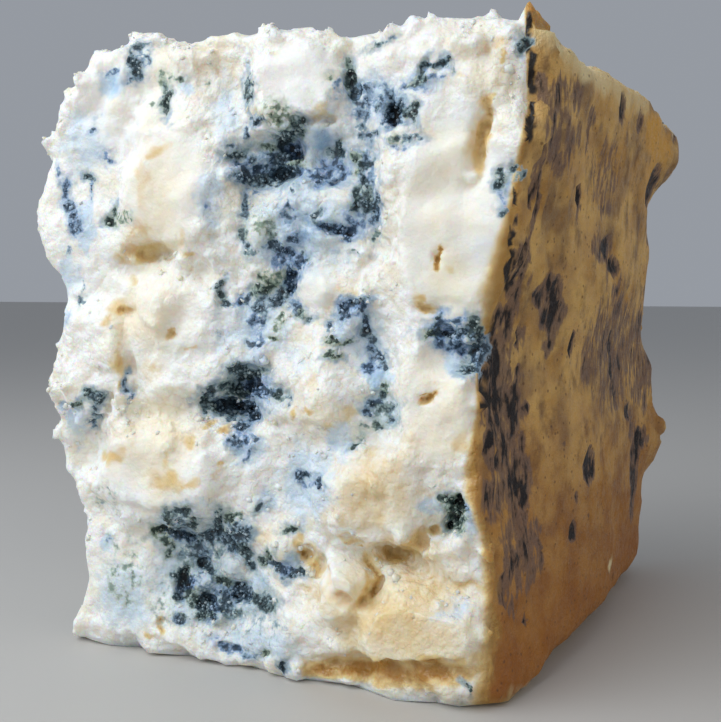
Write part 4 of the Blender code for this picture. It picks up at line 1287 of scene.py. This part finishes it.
def mould_fields(points, sides, hollow):
    """Mould, its hue, the haze round it and the bloom: placed one by one on the broken face, and veins of
    noise elsewhere."""
    uneven = warped(warped(points, 1.7 * MM, 0.6 * MM, 5.0), 0.6 * MM, 0.3 * MM, 9.0)
    sideways, height = seen(uneven)
    mould, haze = np.zeros(len(points)), np.zeros(len(points))
    hue = np.full(len(points), 0.3)
    for *place, strength, patch_hue in MOULD_PATCHES:
        inside = oval(sideways, height, *place)
        patch = strength * np.clip((inside + 0.5) / 1.1, 0, 1)
        hue = np.where(patch > mould, patch_hue, hue)
        mould = np.maximum(mould, patch)
        narrow = min(place[2], place[3])
        beyond = np.clip(-inside, 0, None) * narrow
        haze = np.maximum(haze, strength * smoothstep(1 - beyond / min(HAZE_REACH, 0.4 + narrow)))
    mould *= 1 - strongest(sideways, height, CLEAN_LUMPS, 0.5)
    bloom = strongest(sideways, height, BLOOM_AREAS, 0.9, 0.15)
    veins = cloud(points * (1, 1, 0.6), 8 * MM, 21.0)
    threads = cloud(points, 2.0 * MM, 27.0)
    hidden_bloom = smoothstep((veins + 0.15) / 0.5)
    hidden_mould = smoothstep((veins + 0.5 * threads + 1.2 * hollow - 0.2) / 0.4)
    hidden_hue = smoothstep(cloud(points, 6 * MM, 31.0) + 0.5)
    front, hidden = sides.front, (1 - sides.front) * sides.broken
    mould = mould * front + hidden_mould * hidden
    haze = haze * front * sides.broken + smoothstep((veins + 0.3 * threads - 0.05) / 0.4) * hidden
    bloom = bloom * front * sides.broken + hidden_bloom * hidden
    return mould, hue * front + hidden_hue * (1 - front), haze, bloom


# Painted shade and glow: tan where shade falls in the listed hollows and under ledges, where light glows
# through thin paste, and in deep recesses off the front face.
def warm_shade_and_glow_field(points, sides, deep):
    sideways, height = seen(warped(points, 1.5 * MM, 0.8 * MM, 7.0))
    placed = strongest(sideways, height, WARM_SHADE_AND_GLOW, 1.5, 0.6)
    torn = warped(warped(points, 1.5 * MM, 0.4 * MM, 7.0), 0.5 * MM, 0.35 * MM, 3.0)
    placed = np.maximum(placed, strongest(*seen(torn), TORN_HOLE_SHADE, 0.4, 0.1))
    # painted shade: tan in deep recesses on the faces other than the front
    hidden = smoothstep((deep - 0.25) / 0.6)
    return (placed * sides.front + hidden * (1 - sides.front)) * sides.broken


def cream_field(points, sides):
    sideways, height = seen(points)
    placed = strongest(sideways, height, CREAM_AREAS, 0.9)
    return placed * sides.front + 0.5 * (1 - sides.front)


def border_field(points, sides):
    """Ochre skin along the rind's border: 1 at the border, fading into the paste; widened near the base,
    where it also paints shade over the lit rounded edge.
    """
    sideways, height = seen(points)
    heights, borders = np.array(RIND_BORDER).T
    fade_heights, fades = np.array(BORDER_FADE).T
    short_of = np.interp(height, heights, borders) - sideways
    width = np.interp(height, fade_heights, fades)
    front_fade = smoothstep(1 - short_of / width) * sides.front
    edge_fade = 0.5 * smoothstep((sides.normal[:, 0] - 0.25) / 0.4) * (1 - sides.front)
    return np.maximum(front_fade, edge_fade)


def rind_marks(points, sides):
    back, up = back_and_up(warped(warped(points, 1.8 * MM, 0.7 * MM, 9.0), 0.6 * MM, 0.35 * MM, 6.0))
    return strongest(back, up, RIND_MARKS, 0.95, 0.4) * sides.rind


def crevice_shade_line(points, sides):
    """The dark line of painted shade, partly mould, in the gap where the paste has come away from the rind.
    """
    sideways, height = seen(warped(points, 1.2 * MM, 0.25 * MM, 14.0))
    return strongest(sideways, height, CREVICE_SHADE, 0.9, 0.4) * np.maximum(sides.front, sides.rind)


def rind_pale(points, sides):
    """Strength and tint of the rind's paler stretches."""
    back, up = back_and_up(warped(points, 4 * MM, 1.0 * MM, 2.0))
    pale = np.zeros(len(points))
    gold = np.zeros(len(points))
    for *place, strength, tint in RIND_PALE:
        patch = strength * smoothstep((oval(back, up, *place) + 0.2) / 1.0)
        gold = np.where(patch > pale, tint, gold)
        pale = np.maximum(pale, patch)
    return pale * sides.rind, gold


def paint_paste(paste, core):
    mesh = paste.data
    points = read_points(mesh)
    sides = Sides(core, points)
    hollow, deep = hollowness(mesh, 5), hollowness(mesh, 60)
    mould, hue, haze, bloom = mould_fields(points, sides, hollow)
    pale, gold = rind_pale(points, sides)
    fields = {
        "mould": mould,
        "hue": hue,
        "haze": haze,
        "bloom": bloom,
        # painted shade and glow
        "warm_shade_glow": warm_shade_and_glow_field(points, sides, deep),
        "cream": cream_field(points, sides),
        "border": border_field(points, sides),
        "rind": sides.rind,
        "mark": rind_marks(points, sides),
        # painted shade, partly mould, in the paste-rind gap
        "crevice_shade": crevice_shade_line(points, sides),
        "pale": pale,
        "gold": gold,
        "hollow": hollow,
        "deep": deep,
        "crumbly": crumbly_share(points, sides),
    }
    for name, values in fields.items():
        write_attribute(mesh, name, values)
    return points, sides, fields


# --------------------------------------------------------------------------------------- materials


class Nodes:
    """A short way to write a material's nodes."""

    def __init__(self, name):
        self.material = bpy.data.materials.new(name)
        self.material.use_nodes = True
        self.tree = self.material.node_tree
        self.shader = self.tree.nodes["Principled BSDF"]
        self.place = self.tree.nodes.new("ShaderNodeTexCoord").outputs["Object"]

    def link(self, source, target):
        if hasattr(source, "links"):
            self.tree.links.new(source, target)
        else:
            target.default_value = source

    def attribute(self, name):
        node = self.tree.nodes.new("ShaderNodeAttribute")
        node.attribute_name = name
        return node.outputs["Fac"]

    def noise(self, size, detail=3.0, rough=0.55, stretch=None):
        node = self.tree.nodes.new("ShaderNodeTexNoise")
        node.inputs["Scale"].default_value = 1 / size
        node.inputs["Detail"].default_value = detail
        node.inputs["Roughness"].default_value = rough
        self.link(self.stretched(stretch), node.inputs["Vector"])
        return node.outputs["Fac"]

    def cells(self, size, uneven=0.0):
        """Distance from the middle of rounded cells, made uneven by the share of their size given."""
        node = self.tree.nodes.new("ShaderNodeTexVoronoi")
        node.inputs["Scale"].default_value = 1 / size
        self.link(self.nudged(size, uneven * size) if uneven else self.place, node.inputs["Vector"])
        return node.outputs["Distance"]

    def nudged(self, size, amount):
        wander = self.tree.nodes.new("ShaderNodeTexNoise")
        wander.inputs["Scale"].default_value = 1 / size
        wander.inputs["Detail"].default_value = 1.0
        self.link(self.place, wander.inputs["Vector"])
        moved = self.tree.nodes.new("ShaderNodeVectorMath")
        moved.operation = "MULTIPLY_ADD"
        self.link(wander.outputs["Color"], moved.inputs[0])
        moved.inputs[1].default_value = (2 * amount,) * 3
        self.link(self.place, moved.inputs[2])
        return moved.outputs["Vector"]

    def stretched(self, stretch):
        if stretch is None:
            return self.place
        mapping = self.tree.nodes.new("ShaderNodeMapping")
        mapping.inputs["Scale"].default_value = stretch
        self.link(self.place, mapping.inputs["Vector"])
        return mapping.outputs["Vector"]

    def math(self, operation, first, second=0.0, third=0.0, clamp=False):
        node = self.tree.nodes.new("ShaderNodeMath")
        node.operation = operation
        node.use_clamp = clamp
        for value, socket in zip((first, second, third), node.inputs):
            self.link(value, socket)
        return node.outputs["Value"]

    def swing(self, value, amount, base):
        """base plus a noise value's swing about its middle, times amount."""
        return self.math("MULTIPLY_ADD", self.math("SUBTRACT", value, 0.5), amount, base)

    def ramp(self, value, low, high, out_low=0.0, out_high=1.0):
        node = self.tree.nodes.new("ShaderNodeMapRange")
        node.interpolation_type = "SMOOTHSTEP"
        self.link(value, node.inputs["Value"])
        sockets = ("From Min", "From Max", "To Min", "To Max")
        for socket, number in zip(sockets, (low, high, out_low, out_high)):
            node.inputs[socket].default_value = number
        return node.outputs["Result"]

    def mix(self, share, first, second):
        node = self.tree.nodes.new("ShaderNodeMix")
        node.data_type = "RGBA"
        self.link(share, node.inputs["Factor"])
        self.link(first, node.inputs[6])
        self.link(second, node.inputs[7])
        return node.outputs[2]

    def bump(self, height, distance, strength=1.0, under=None):
        node = self.tree.nodes.new("ShaderNodeBump")
        self.link(strength, node.inputs["Strength"])
        node.inputs["Distance"].default_value = distance
        self.link(height, node.inputs["Height"])
        if under is not None:
            self.link(under, node.inputs["Normal"])
        return node.outputs["Normal"]

    def let_light_in(self, weight, scale):
        self.shader.inputs["Subsurface Weight"].default_value = weight
        self.shader.inputs["Subsurface Radius"].default_value = (1.0, 0.62, 0.32)
        self.shader.inputs["Subsurface Scale"].default_value = scale


def colour(red, green, blue):
    """A colour as seen on screen, from 0 to 255, made linear for the shader."""
    linear = [((c / 255 + 0.055) / 1.055) ** 2.4 if c > 10 else c / 255 / 12.92 for c in (red, green, blue)]
    return (*linear, 1.0)


def mould_colour(nodes, hue, depth):
    """From pale bluish grey, where mould is thin, to blue-black or green-black where it is thick."""
    pale = nodes.mix(hue, colour(196, 214, 235), colour(202, 212, 194))
    middle = nodes.mix(hue, colour(136, 164, 196), colour(138, 156, 138))
    dark = nodes.mix(hue, colour(56, 80, 104), colour(56, 74, 64))
    half = nodes.mix(nodes.ramp(depth, 0.1, 0.45), pale, middle)
    deep = nodes.mix(nodes.ramp(depth, 0.45, 0.8), half, dark)
    return nodes.mix(nodes.ramp(depth, 0.85, 1.4), deep, colour(18, 22, 26))


def paste_colour(nodes):
    """Ivory paste with tan painted shade in its creases and hollows, tan and ochre painted shade and glow,
    bluish bloom and the grey haze round the mould.
    """
    white, cream = colour(247, 247, 242), colour(244, 231, 200)
    crease_shade_tan, shade_glow_tan, ochre = colour(224, 202, 156), colour(228, 201, 144), colour(176, 128, 56)
    bloom_white, bloom_blue = colour(213, 227, 236), colour(158, 193, 222)
    haze_blue, haze_green = colour(138, 170, 202), colour(164, 178, 166)
    creamy = nodes.swing(nodes.noise(5 * MM, 2.0), 1.6, nodes.attribute("cream"))
    paste = nodes.mix(creamy, white, cream)
    # Painted shade: tan in the creases between curds and in hollows.
    crease_shade = nodes.ramp(nodes.cells(1.1 * MM, 0.5), 0.45, 0.8, 0.0, 0.3)
    crease_shade = nodes.math("MULTIPLY", crease_shade, nodes.attribute("crumbly"))
    sunk = nodes.math("MAXIMUM", crease_shade, nodes.ramp(nodes.attribute("hollow"), 0.0, 0.2, 0.0, 0.5))
    paste = nodes.mix(sunk, paste, crease_shade_tan)
    # Painted shade and glow: tan and ochre where the shade-and-glow field is high, and more in every hollow.
    warm_shade_glow = nodes.swing(nodes.noise(1.5 * MM, 3.0, 0.6), 1.0, nodes.attribute("warm_shade_glow"))
    warm_shade_glow = nodes.math("MULTIPLY_ADD", nodes.attribute("hollow"), 1.2, warm_shade_glow)
    shown = nodes.ramp(nodes.attribute("warm_shade_glow"), 0.0, 0.3)
    paste = nodes.mix(nodes.math("MULTIPLY", nodes.ramp(warm_shade_glow, 0.0, 1.0), shown), paste, shade_glow_tan)
    paste = nodes.mix(nodes.ramp(warm_shade_glow, 0.9, 2.0), paste, ochre)
    bloom = nodes.swing(nodes.noise(1.6 * MM, 3.0, 0.65), 1.7, nodes.attribute("bloom"))
    shown = nodes.ramp(nodes.attribute("bloom"), 0.0, 0.3)
    paste = nodes.mix(nodes.math("MULTIPLY", nodes.ramp(bloom, 0.1, 1.0), shown), paste, bloom_white)
    paste = nodes.mix(nodes.ramp(bloom, 1.1, 2.6), paste, bloom_blue)
    haze = nodes.swing(nodes.noise(1.1 * MM, 2.5, 0.68), 1.5, nodes.attribute("haze"))
    shown = nodes.ramp(nodes.attribute("haze"), 0.0, 0.4)
    hazy = nodes.mix(nodes.attribute("hue"), haze_blue, haze_green)
    return nodes.mix(nodes.math("MULTIPLY", nodes.ramp(haze, 0.1, 1.1, 0.0, 0.9), shown), paste, hazy)


def rind_colour(nodes):
    """Tan rind with grey, golden and brown stretches, an orange foot, pale areas, dark marks and pores."""
    tan_light, tan_deep, tan_low = colour(208, 164, 100), colour(196, 146, 70), colour(160, 92, 6)
    rind_grey, rind_gold, rind_brown = colour(122, 97, 74), colour(234, 190, 112), colour(106, 76, 50)
    pale_cream, pale_gold = colour(238, 220, 170), colour(224, 168, 72)
    violet_grey, mark_black, pore_brown = colour(124, 98, 84), colour(26, 18, 20), colour(84, 56, 34)
    turns = nodes.ramp(nodes.noise(4 * MM, 2.0, stretch=(1, 0.5, 0.8)), 0.38, 0.62)
    tan = nodes.mix(turns, tan_light, tan_deep)
    grey = nodes.ramp(nodes.noise(4.0 * MM, 3.0, 0.55, stretch=(1, 0.5, 0.45)), 0.4, 0.7, 0.0, 0.85)
    tan = nodes.mix(grey, tan, rind_grey)
    golden = nodes.ramp(nodes.noise(3.0 * MM, 2.0, 0.5, stretch=(1, 0.45, 0.7)), 0.38, 0.66, 0.0, 0.8)
    tan = nodes.mix(golden, tan, rind_gold)
    brown = nodes.ramp(nodes.noise(1.5 * MM, 3.0, 0.62, stretch=(1, 0.5, 0.45)), 0.46, 0.76, 0.0, 0.75)
    tan = nodes.mix(brown, tan, rind_brown)
    height = nodes.tree.nodes.new("ShaderNodeSeparateXYZ")
    nodes.link(nodes.place, height.inputs[0])
    low = nodes.ramp(height.outputs["Z"], 0.0, 34 * MM, 0.85, 0.0)
    tan = nodes.mix(low, tan, tan_low)
    gilded = nodes.mix(nodes.attribute("gold"), pale_cream, pale_gold)
    pale = nodes.swing(nodes.noise(1.6 * MM, 1.0), 0.7, nodes.attribute("pale"))
    shown = nodes.ramp(nodes.attribute("pale"), 0.0, 0.2)
    tan = nodes.mix(nodes.math("MULTIPLY", nodes.ramp(pale, 0.1, 0.9), shown), tan, gilded)
    mark = nodes.attribute("mark")
    broad = nodes.noise(1.4 * MM, 3.0, 0.68, stretch=(1, 1, 0.4))
    narrow = nodes.noise(0.7 * MM, 2.0, 0.6, stretch=(1, 1, 0.28))
    streaks = nodes.math("MULTIPLY", nodes.math("ADD", broad, narrow), 0.5)
    ragged = nodes.swing(streaks, 2.8, mark)
    depth = nodes.math("MULTIPLY", ragged, nodes.ramp(mark, 0.02, 0.25))
    shaded = nodes.mix(nodes.ramp(depth, 0.05, 0.35, 0.0, 0.85), tan, violet_grey)
    marked = nodes.mix(nodes.ramp(depth, 0.4, 0.75), shaded, mark_black)
    pores = nodes.ramp(nodes.cells(1.1 * MM), 0.2, 0.08, 0.0, 0.6)
    return nodes.mix(pores, marked, pore_brown)


def paste_material():
    nodes = Nodes("blue_cheese")
    # Ochre skin along the rind's border; where it is widened near the base its darker ochre also paints
    # shade over the lit rounded edge.
    border = nodes.swing(nodes.noise(1.4 * MM, 1.0), 0.4, nodes.attribute("border"))
    shown = nodes.ramp(nodes.attribute("border"), 0.0, 0.2)
    yellowed = nodes.math("MULTIPLY", nodes.ramp(border, 0.0, 0.6, 0.0, 0.9), shown)
    bordered = nodes.mix(yellowed, paste_colour(nodes), colour(228, 198, 132))
    bordered = nodes.mix(nodes.ramp(border, 0.35, 1.0), bordered, colour(186, 142, 70))
    whole = nodes.mix(nodes.attribute("rind"), bordered, rind_colour(nodes))
    # Painted shade, partly mould: dark line in the gap between paste and rind.
    line = nodes.swing(nodes.noise(0.8 * MM, 2.0, 0.6), 0.6, nodes.attribute("crevice_shade"))
    whole = nodes.mix(nodes.ramp(line, 0.35, 0.8), whole, colour(34, 26, 20))

    mould = nodes.attribute("mould")
    blotched = nodes.swing(nodes.noise(1.3 * MM, 3.0, 0.62), 1.3, nodes.math("SUBTRACT", mould, 0.06))
    lace = nodes.math("SUBTRACT", nodes.cells(0.8 * MM, 0.6), 0.42)
    laced = nodes.math("MULTIPLY_ADD", lace, 0.9, blotched)
    speckled = nodes.swing(nodes.noise(0.4 * MM, 1.5, 0.65), 1.1, laced)
    ragged = nodes.math("MULTIPLY_ADD", nodes.attribute("hollow"), 1.7, speckled)
    depth = nodes.math("MULTIPLY", ragged, nodes.ramp(mould, 0.02, 0.4))
    mouldy = mould_colour(nodes, nodes.attribute("hue"), depth)
    nodes.link(nodes.mix(nodes.ramp(depth, 0.0, 0.42), whole, mouldy), nodes.shader.inputs["Base Color"])

    damp = nodes.math("MULTIPLY_ADD", nodes.noise(0.2 * MM, 0.5), 0.6, nodes.noise(0.9 * MM, 1.5))
    matte = nodes.ramp(nodes.attribute("crumbly"), 0.0, 0.6, 0.16, 0.0)
    roughness = nodes.math("ADD", nodes.ramp(damp, 0.66, 0.98, 0.62, 0.3), matte)
    nodes.link(roughness, nodes.shader.inputs["Roughness"])
    nodes.let_light_in(0.62, 2.2 * MM)
    clouded = nodes.math("MAXIMUM", nodes.attribute("rind"), nodes.ramp(depth, 0.3, 0.8))
    nodes.link(nodes.ramp(clouded, 0.0, 1.0, 0.62, 0.12), nodes.shader.inputs["Subsurface Weight"])
    nodes.shader.inputs["Specular IOR Level"].default_value = 0.55

    rind = nodes.attribute("rind")
    on_paste = nodes.math("SUBTRACT", 1.0, rind)
    crumbly = nodes.ramp(nodes.math("MAXIMUM", nodes.attribute("crumbly"), mould), 0.1, 0.9, 0.12, 0.85)
    relief = nodes.math("MULTIPLY", nodes.noise(1.3 * MM, 3.0, 0.66), nodes.math("MULTIPLY", crumbly, 0.25))
    domed = nodes.math("MULTIPLY", nodes.ramp(nodes.cells(1.1 * MM, 0.5), 0.1, 0.8, 0.16, 0.0), crumbly)
    beaded = nodes.math("MULTIPLY_ADD", crumbly, 0.3, 0.1)
    beads = nodes.ramp(nodes.cells(0.42 * MM, 0.5), 0.1, 0.7, 0.13, 0.0)
    curdled = nodes.math("MULTIPLY_ADD", beads, beaded, domed)
    relief = nodes.math("MULTIPLY_ADD", curdled, on_paste, relief)
    ribbed = nodes.noise(0.8 * MM, 3.0, 0.72, stretch=(1, 0.5, 0.8))
    relief = nodes.math("MULTIPLY_ADD", ribbed, nodes.math("MULTIPLY", rind, 0.34), relief)
    grains = nodes.math("MULTIPLY_ADD", nodes.ramp(mould, 0.1, 0.6), 0.035, 0.035)
    relief = nodes.math("MULTIPLY_ADD", nodes.noise(0.22 * MM, 1.0, 0.6), grains, relief)
    nodes.link(nodes.bump(relief, 1 * MM), nodes.shader.inputs["Normal"])
    return nodes.material


def crumb_material():
    nodes = Nodes("curd_crumb")
    white, cream = colour(249, 246, 236), colour(244, 232, 204)
    ivory = nodes.mix(nodes.ramp(nodes.noise(3 * MM), 0.35, 0.65), white, cream)
    bloomed = nodes.mix(nodes.ramp(nodes.attribute("bloom"), 0.1, 1.4), ivory, colour(218, 229, 240))
    mouldy = mould_colour(nodes, nodes.attribute("hue"), nodes.attribute("mould"))
    spotted = nodes.mix(nodes.ramp(nodes.attribute("mould"), 0.25, 0.8), bloomed, mouldy)
    nodes.link(spotted, nodes.shader.inputs["Base Color"])
    nodes.shader.inputs["Roughness"].default_value = 0.45
    nodes.let_light_in(0.5, 1.2 * MM)
    nodes.link(nodes.bump(nodes.noise(0.25 * MM), 0.12 * MM, 0.6), nodes.shader.inputs["Normal"])
    return nodes.material


def grain_material():
    nodes = Nodes("mould_grain")
    body = mould_colour(nodes, nodes.attribute("hue"), nodes.attribute("tone"))
    nodes.link(body, nodes.shader.inputs["Base Color"])
    nodes.shader.inputs["Roughness"].default_value = 0.3
    nodes.link(nodes.bump(nodes.noise(0.12 * MM), 0.06 * MM, 0.6), nodes.shader.inputs["Normal"])
    return nodes.material


# ---------------------------------------------------------------------------------- loose material


def scatter(name, shapes, count, rng, surface, weights, radius_of, sink, extras):
    """Small pieces on the paste's skin. weights and extras hold a value for each of its points."""
    points, normals = surface
    picker = np.random.default_rng(rng.randrange(10**6))
    chosen = picker.choice(len(points), size=count, p=weights / weights.sum())
    placings = []
    for index in chosen:
        radius = radius_of(rng)
        jitter = np.array([rng.uniform(-1, 1) for _ in range(3)]) * radius * 0.6
        place = points[index] + jitter - normals[index] * radius * sink
        placings.append((rng.randrange(len(shapes)), random_turn(rng, radius, 0.6), place))
    piece = joined_copies(name, shapes, placings)
    sizes = [len(shapes[which][0]) for which, _, _ in placings]
    for attribute, values in extras.items():
        write_attribute(piece.data, attribute, np.repeat(values[chosen], sizes))
    write_attribute(piece.data, "tone", np.repeat(picker.uniform(0.1, 1.0, size=count) ** 0.7, sizes))
    return piece


# --------------------------------------------------------------------------------------- the scene


def finish_piece(piece, material):
    piece.data.shade_smooth()
    piece.data.materials.clear()
    piece.data.materials.append(material)
    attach(piece, "root")


def make_cheese():
    rng = random.Random(SEED)
    noise.seed_set(SEED)
    core = smooth_core()
    paste = remeshed(joined_copy("cheese_paste"), LUMP_VOXEL)
    press_relief(paste, core)
    add_curds(paste, core, rng)
    remeshed(paste, PASTE_VOXEL)
    sides = crumble(paste, core)
    keep_in_box(paste)
    hidden = 1 - np.maximum(sides.front, sides.rind)
    thin(paste, PASTE_TRIANGLES, np.maximum.reduce([0.2 * hidden, 0.4 * sides.rind, sides.base]))
    keep_in_box(paste)
    points, sides, fields = paint_paste(paste, core)
    surface = (points, read_normals(paste.data))
    extras = {name: fields[name] for name in ("mould", "hue", "bloom")}

    grain_shapes = [ball(seed, 4, 0.7) for seed in range(8)]
    thick = smoothstep((fields["mould"] - 0.45) / 0.4) + 1e-9
    grains = scatter("mould_grains", grain_shapes, GRAIN_COUNT, rng, surface, thick,
                     lambda r: MM * r.uniform(0.09, 0.26), 0.2, extras)
    crumb_shapes = [ball(seed, 5, 0.9) for seed in range(20, 28)]
    clusters = smoothstep(cloud(points, 3 * MM, 51.0, 2) + 0.35)
    ledges = 0.3 + smoothstep(surface[1][:, 2])
    loose = fields["crumbly"] ** 2 * clusters * ledges * (1 - 0.8 * smoothstep(fields["mould"] / 0.5))
    loose *= smoothstep(1 - 4 * fields["border"]) * smoothstep(1.6 - fields["warm_shade_glow"])
    loose[loose < 0.1] = 0
    crumbs = scatter("curd_crumbs", crumb_shapes, CRUMB_COUNT, rng, surface, loose,
                     lambda r: MM * min(0.26 * math.exp(r.gauss(0.0, 0.4)), 0.7), 0.75, extras)
    for piece in (grains, crumbs):
        keep_in_box(piece)
    finish_piece(paste, paste_material())
    finish_piece(grains, grain_material())
    finish_piece(crumbs, crumb_material())
    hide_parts("cheese_wedge")
    bpy.data.objects.remove(core, do_unlink=True)


def make_floor():
    bpy.ops.object.select_all(action="DESELECT")
    bpy.ops.mesh.primitive_plane_add(size=FLOOR_SIZE, location=(0, 0, 0))
    floor = bpy.context.object
    floor.name = "floor"
    nodes = Nodes("pale_floor")
    nodes.link(colour(192, 190, 186), nodes.shader.inputs["Base Color"])
    nodes.shader.inputs["Roughness"].default_value = 0.6
    floor.data.materials.append(nodes.material)


def look_at(thing, place, target):
    thing.location = place
    thing.rotation_mode = "QUATERNION"
    thing.rotation_quaternion = (Vector(target) - Vector(place)).to_track_quat("-Z", "Y")


def add_light(name, place, size, power, tint, target):
    light = bpy.data.lights.new(name, "AREA")
    light.size = size
    light.energy = power
    light.color = tint
    lamp = bpy.data.objects.new(name, light)
    bpy.context.scene.collection.objects.link(lamp)
    look_at(lamp, place, target)


def make_light():
    add_light(*WINDOW)
    add_light(*ROOM)
    world = bpy.data.worlds.new("studio")
    bpy.context.scene.world = world
    world.use_nodes = True
    background = world.node_tree.nodes["Background"]
    background.inputs["Color"].default_value = SKY_COLOUR
    background.inputs["Strength"].default_value = SKY_STRENGTH
    bpy.context.scene.view_settings.view_transform = "Standard"


def make_camera():
    camera = bpy.data.cameras.new("camera")
    camera.sensor_width = 36
    camera.lens = CAMERA_LENS
    camera.clip_start = 0.005
    holder = bpy.data.objects.new("camera", camera)
    bpy.context.scene.collection.objects.link(holder)
    ahead = Vector((
        -math.sin(CAMERA_AZIMUTH) * math.cos(CAMERA_PITCH),
        math.cos(CAMERA_AZIMUTH) * math.cos(CAMERA_PITCH),
        -math.sin(CAMERA_PITCH),
    ))
    look_at(holder, CAMERA_PLACE, CAMERA_PLACE + ahead)
    bpy.context.scene.camera = holder


make_camera()
make_light()
make_floor()
make_cheese()
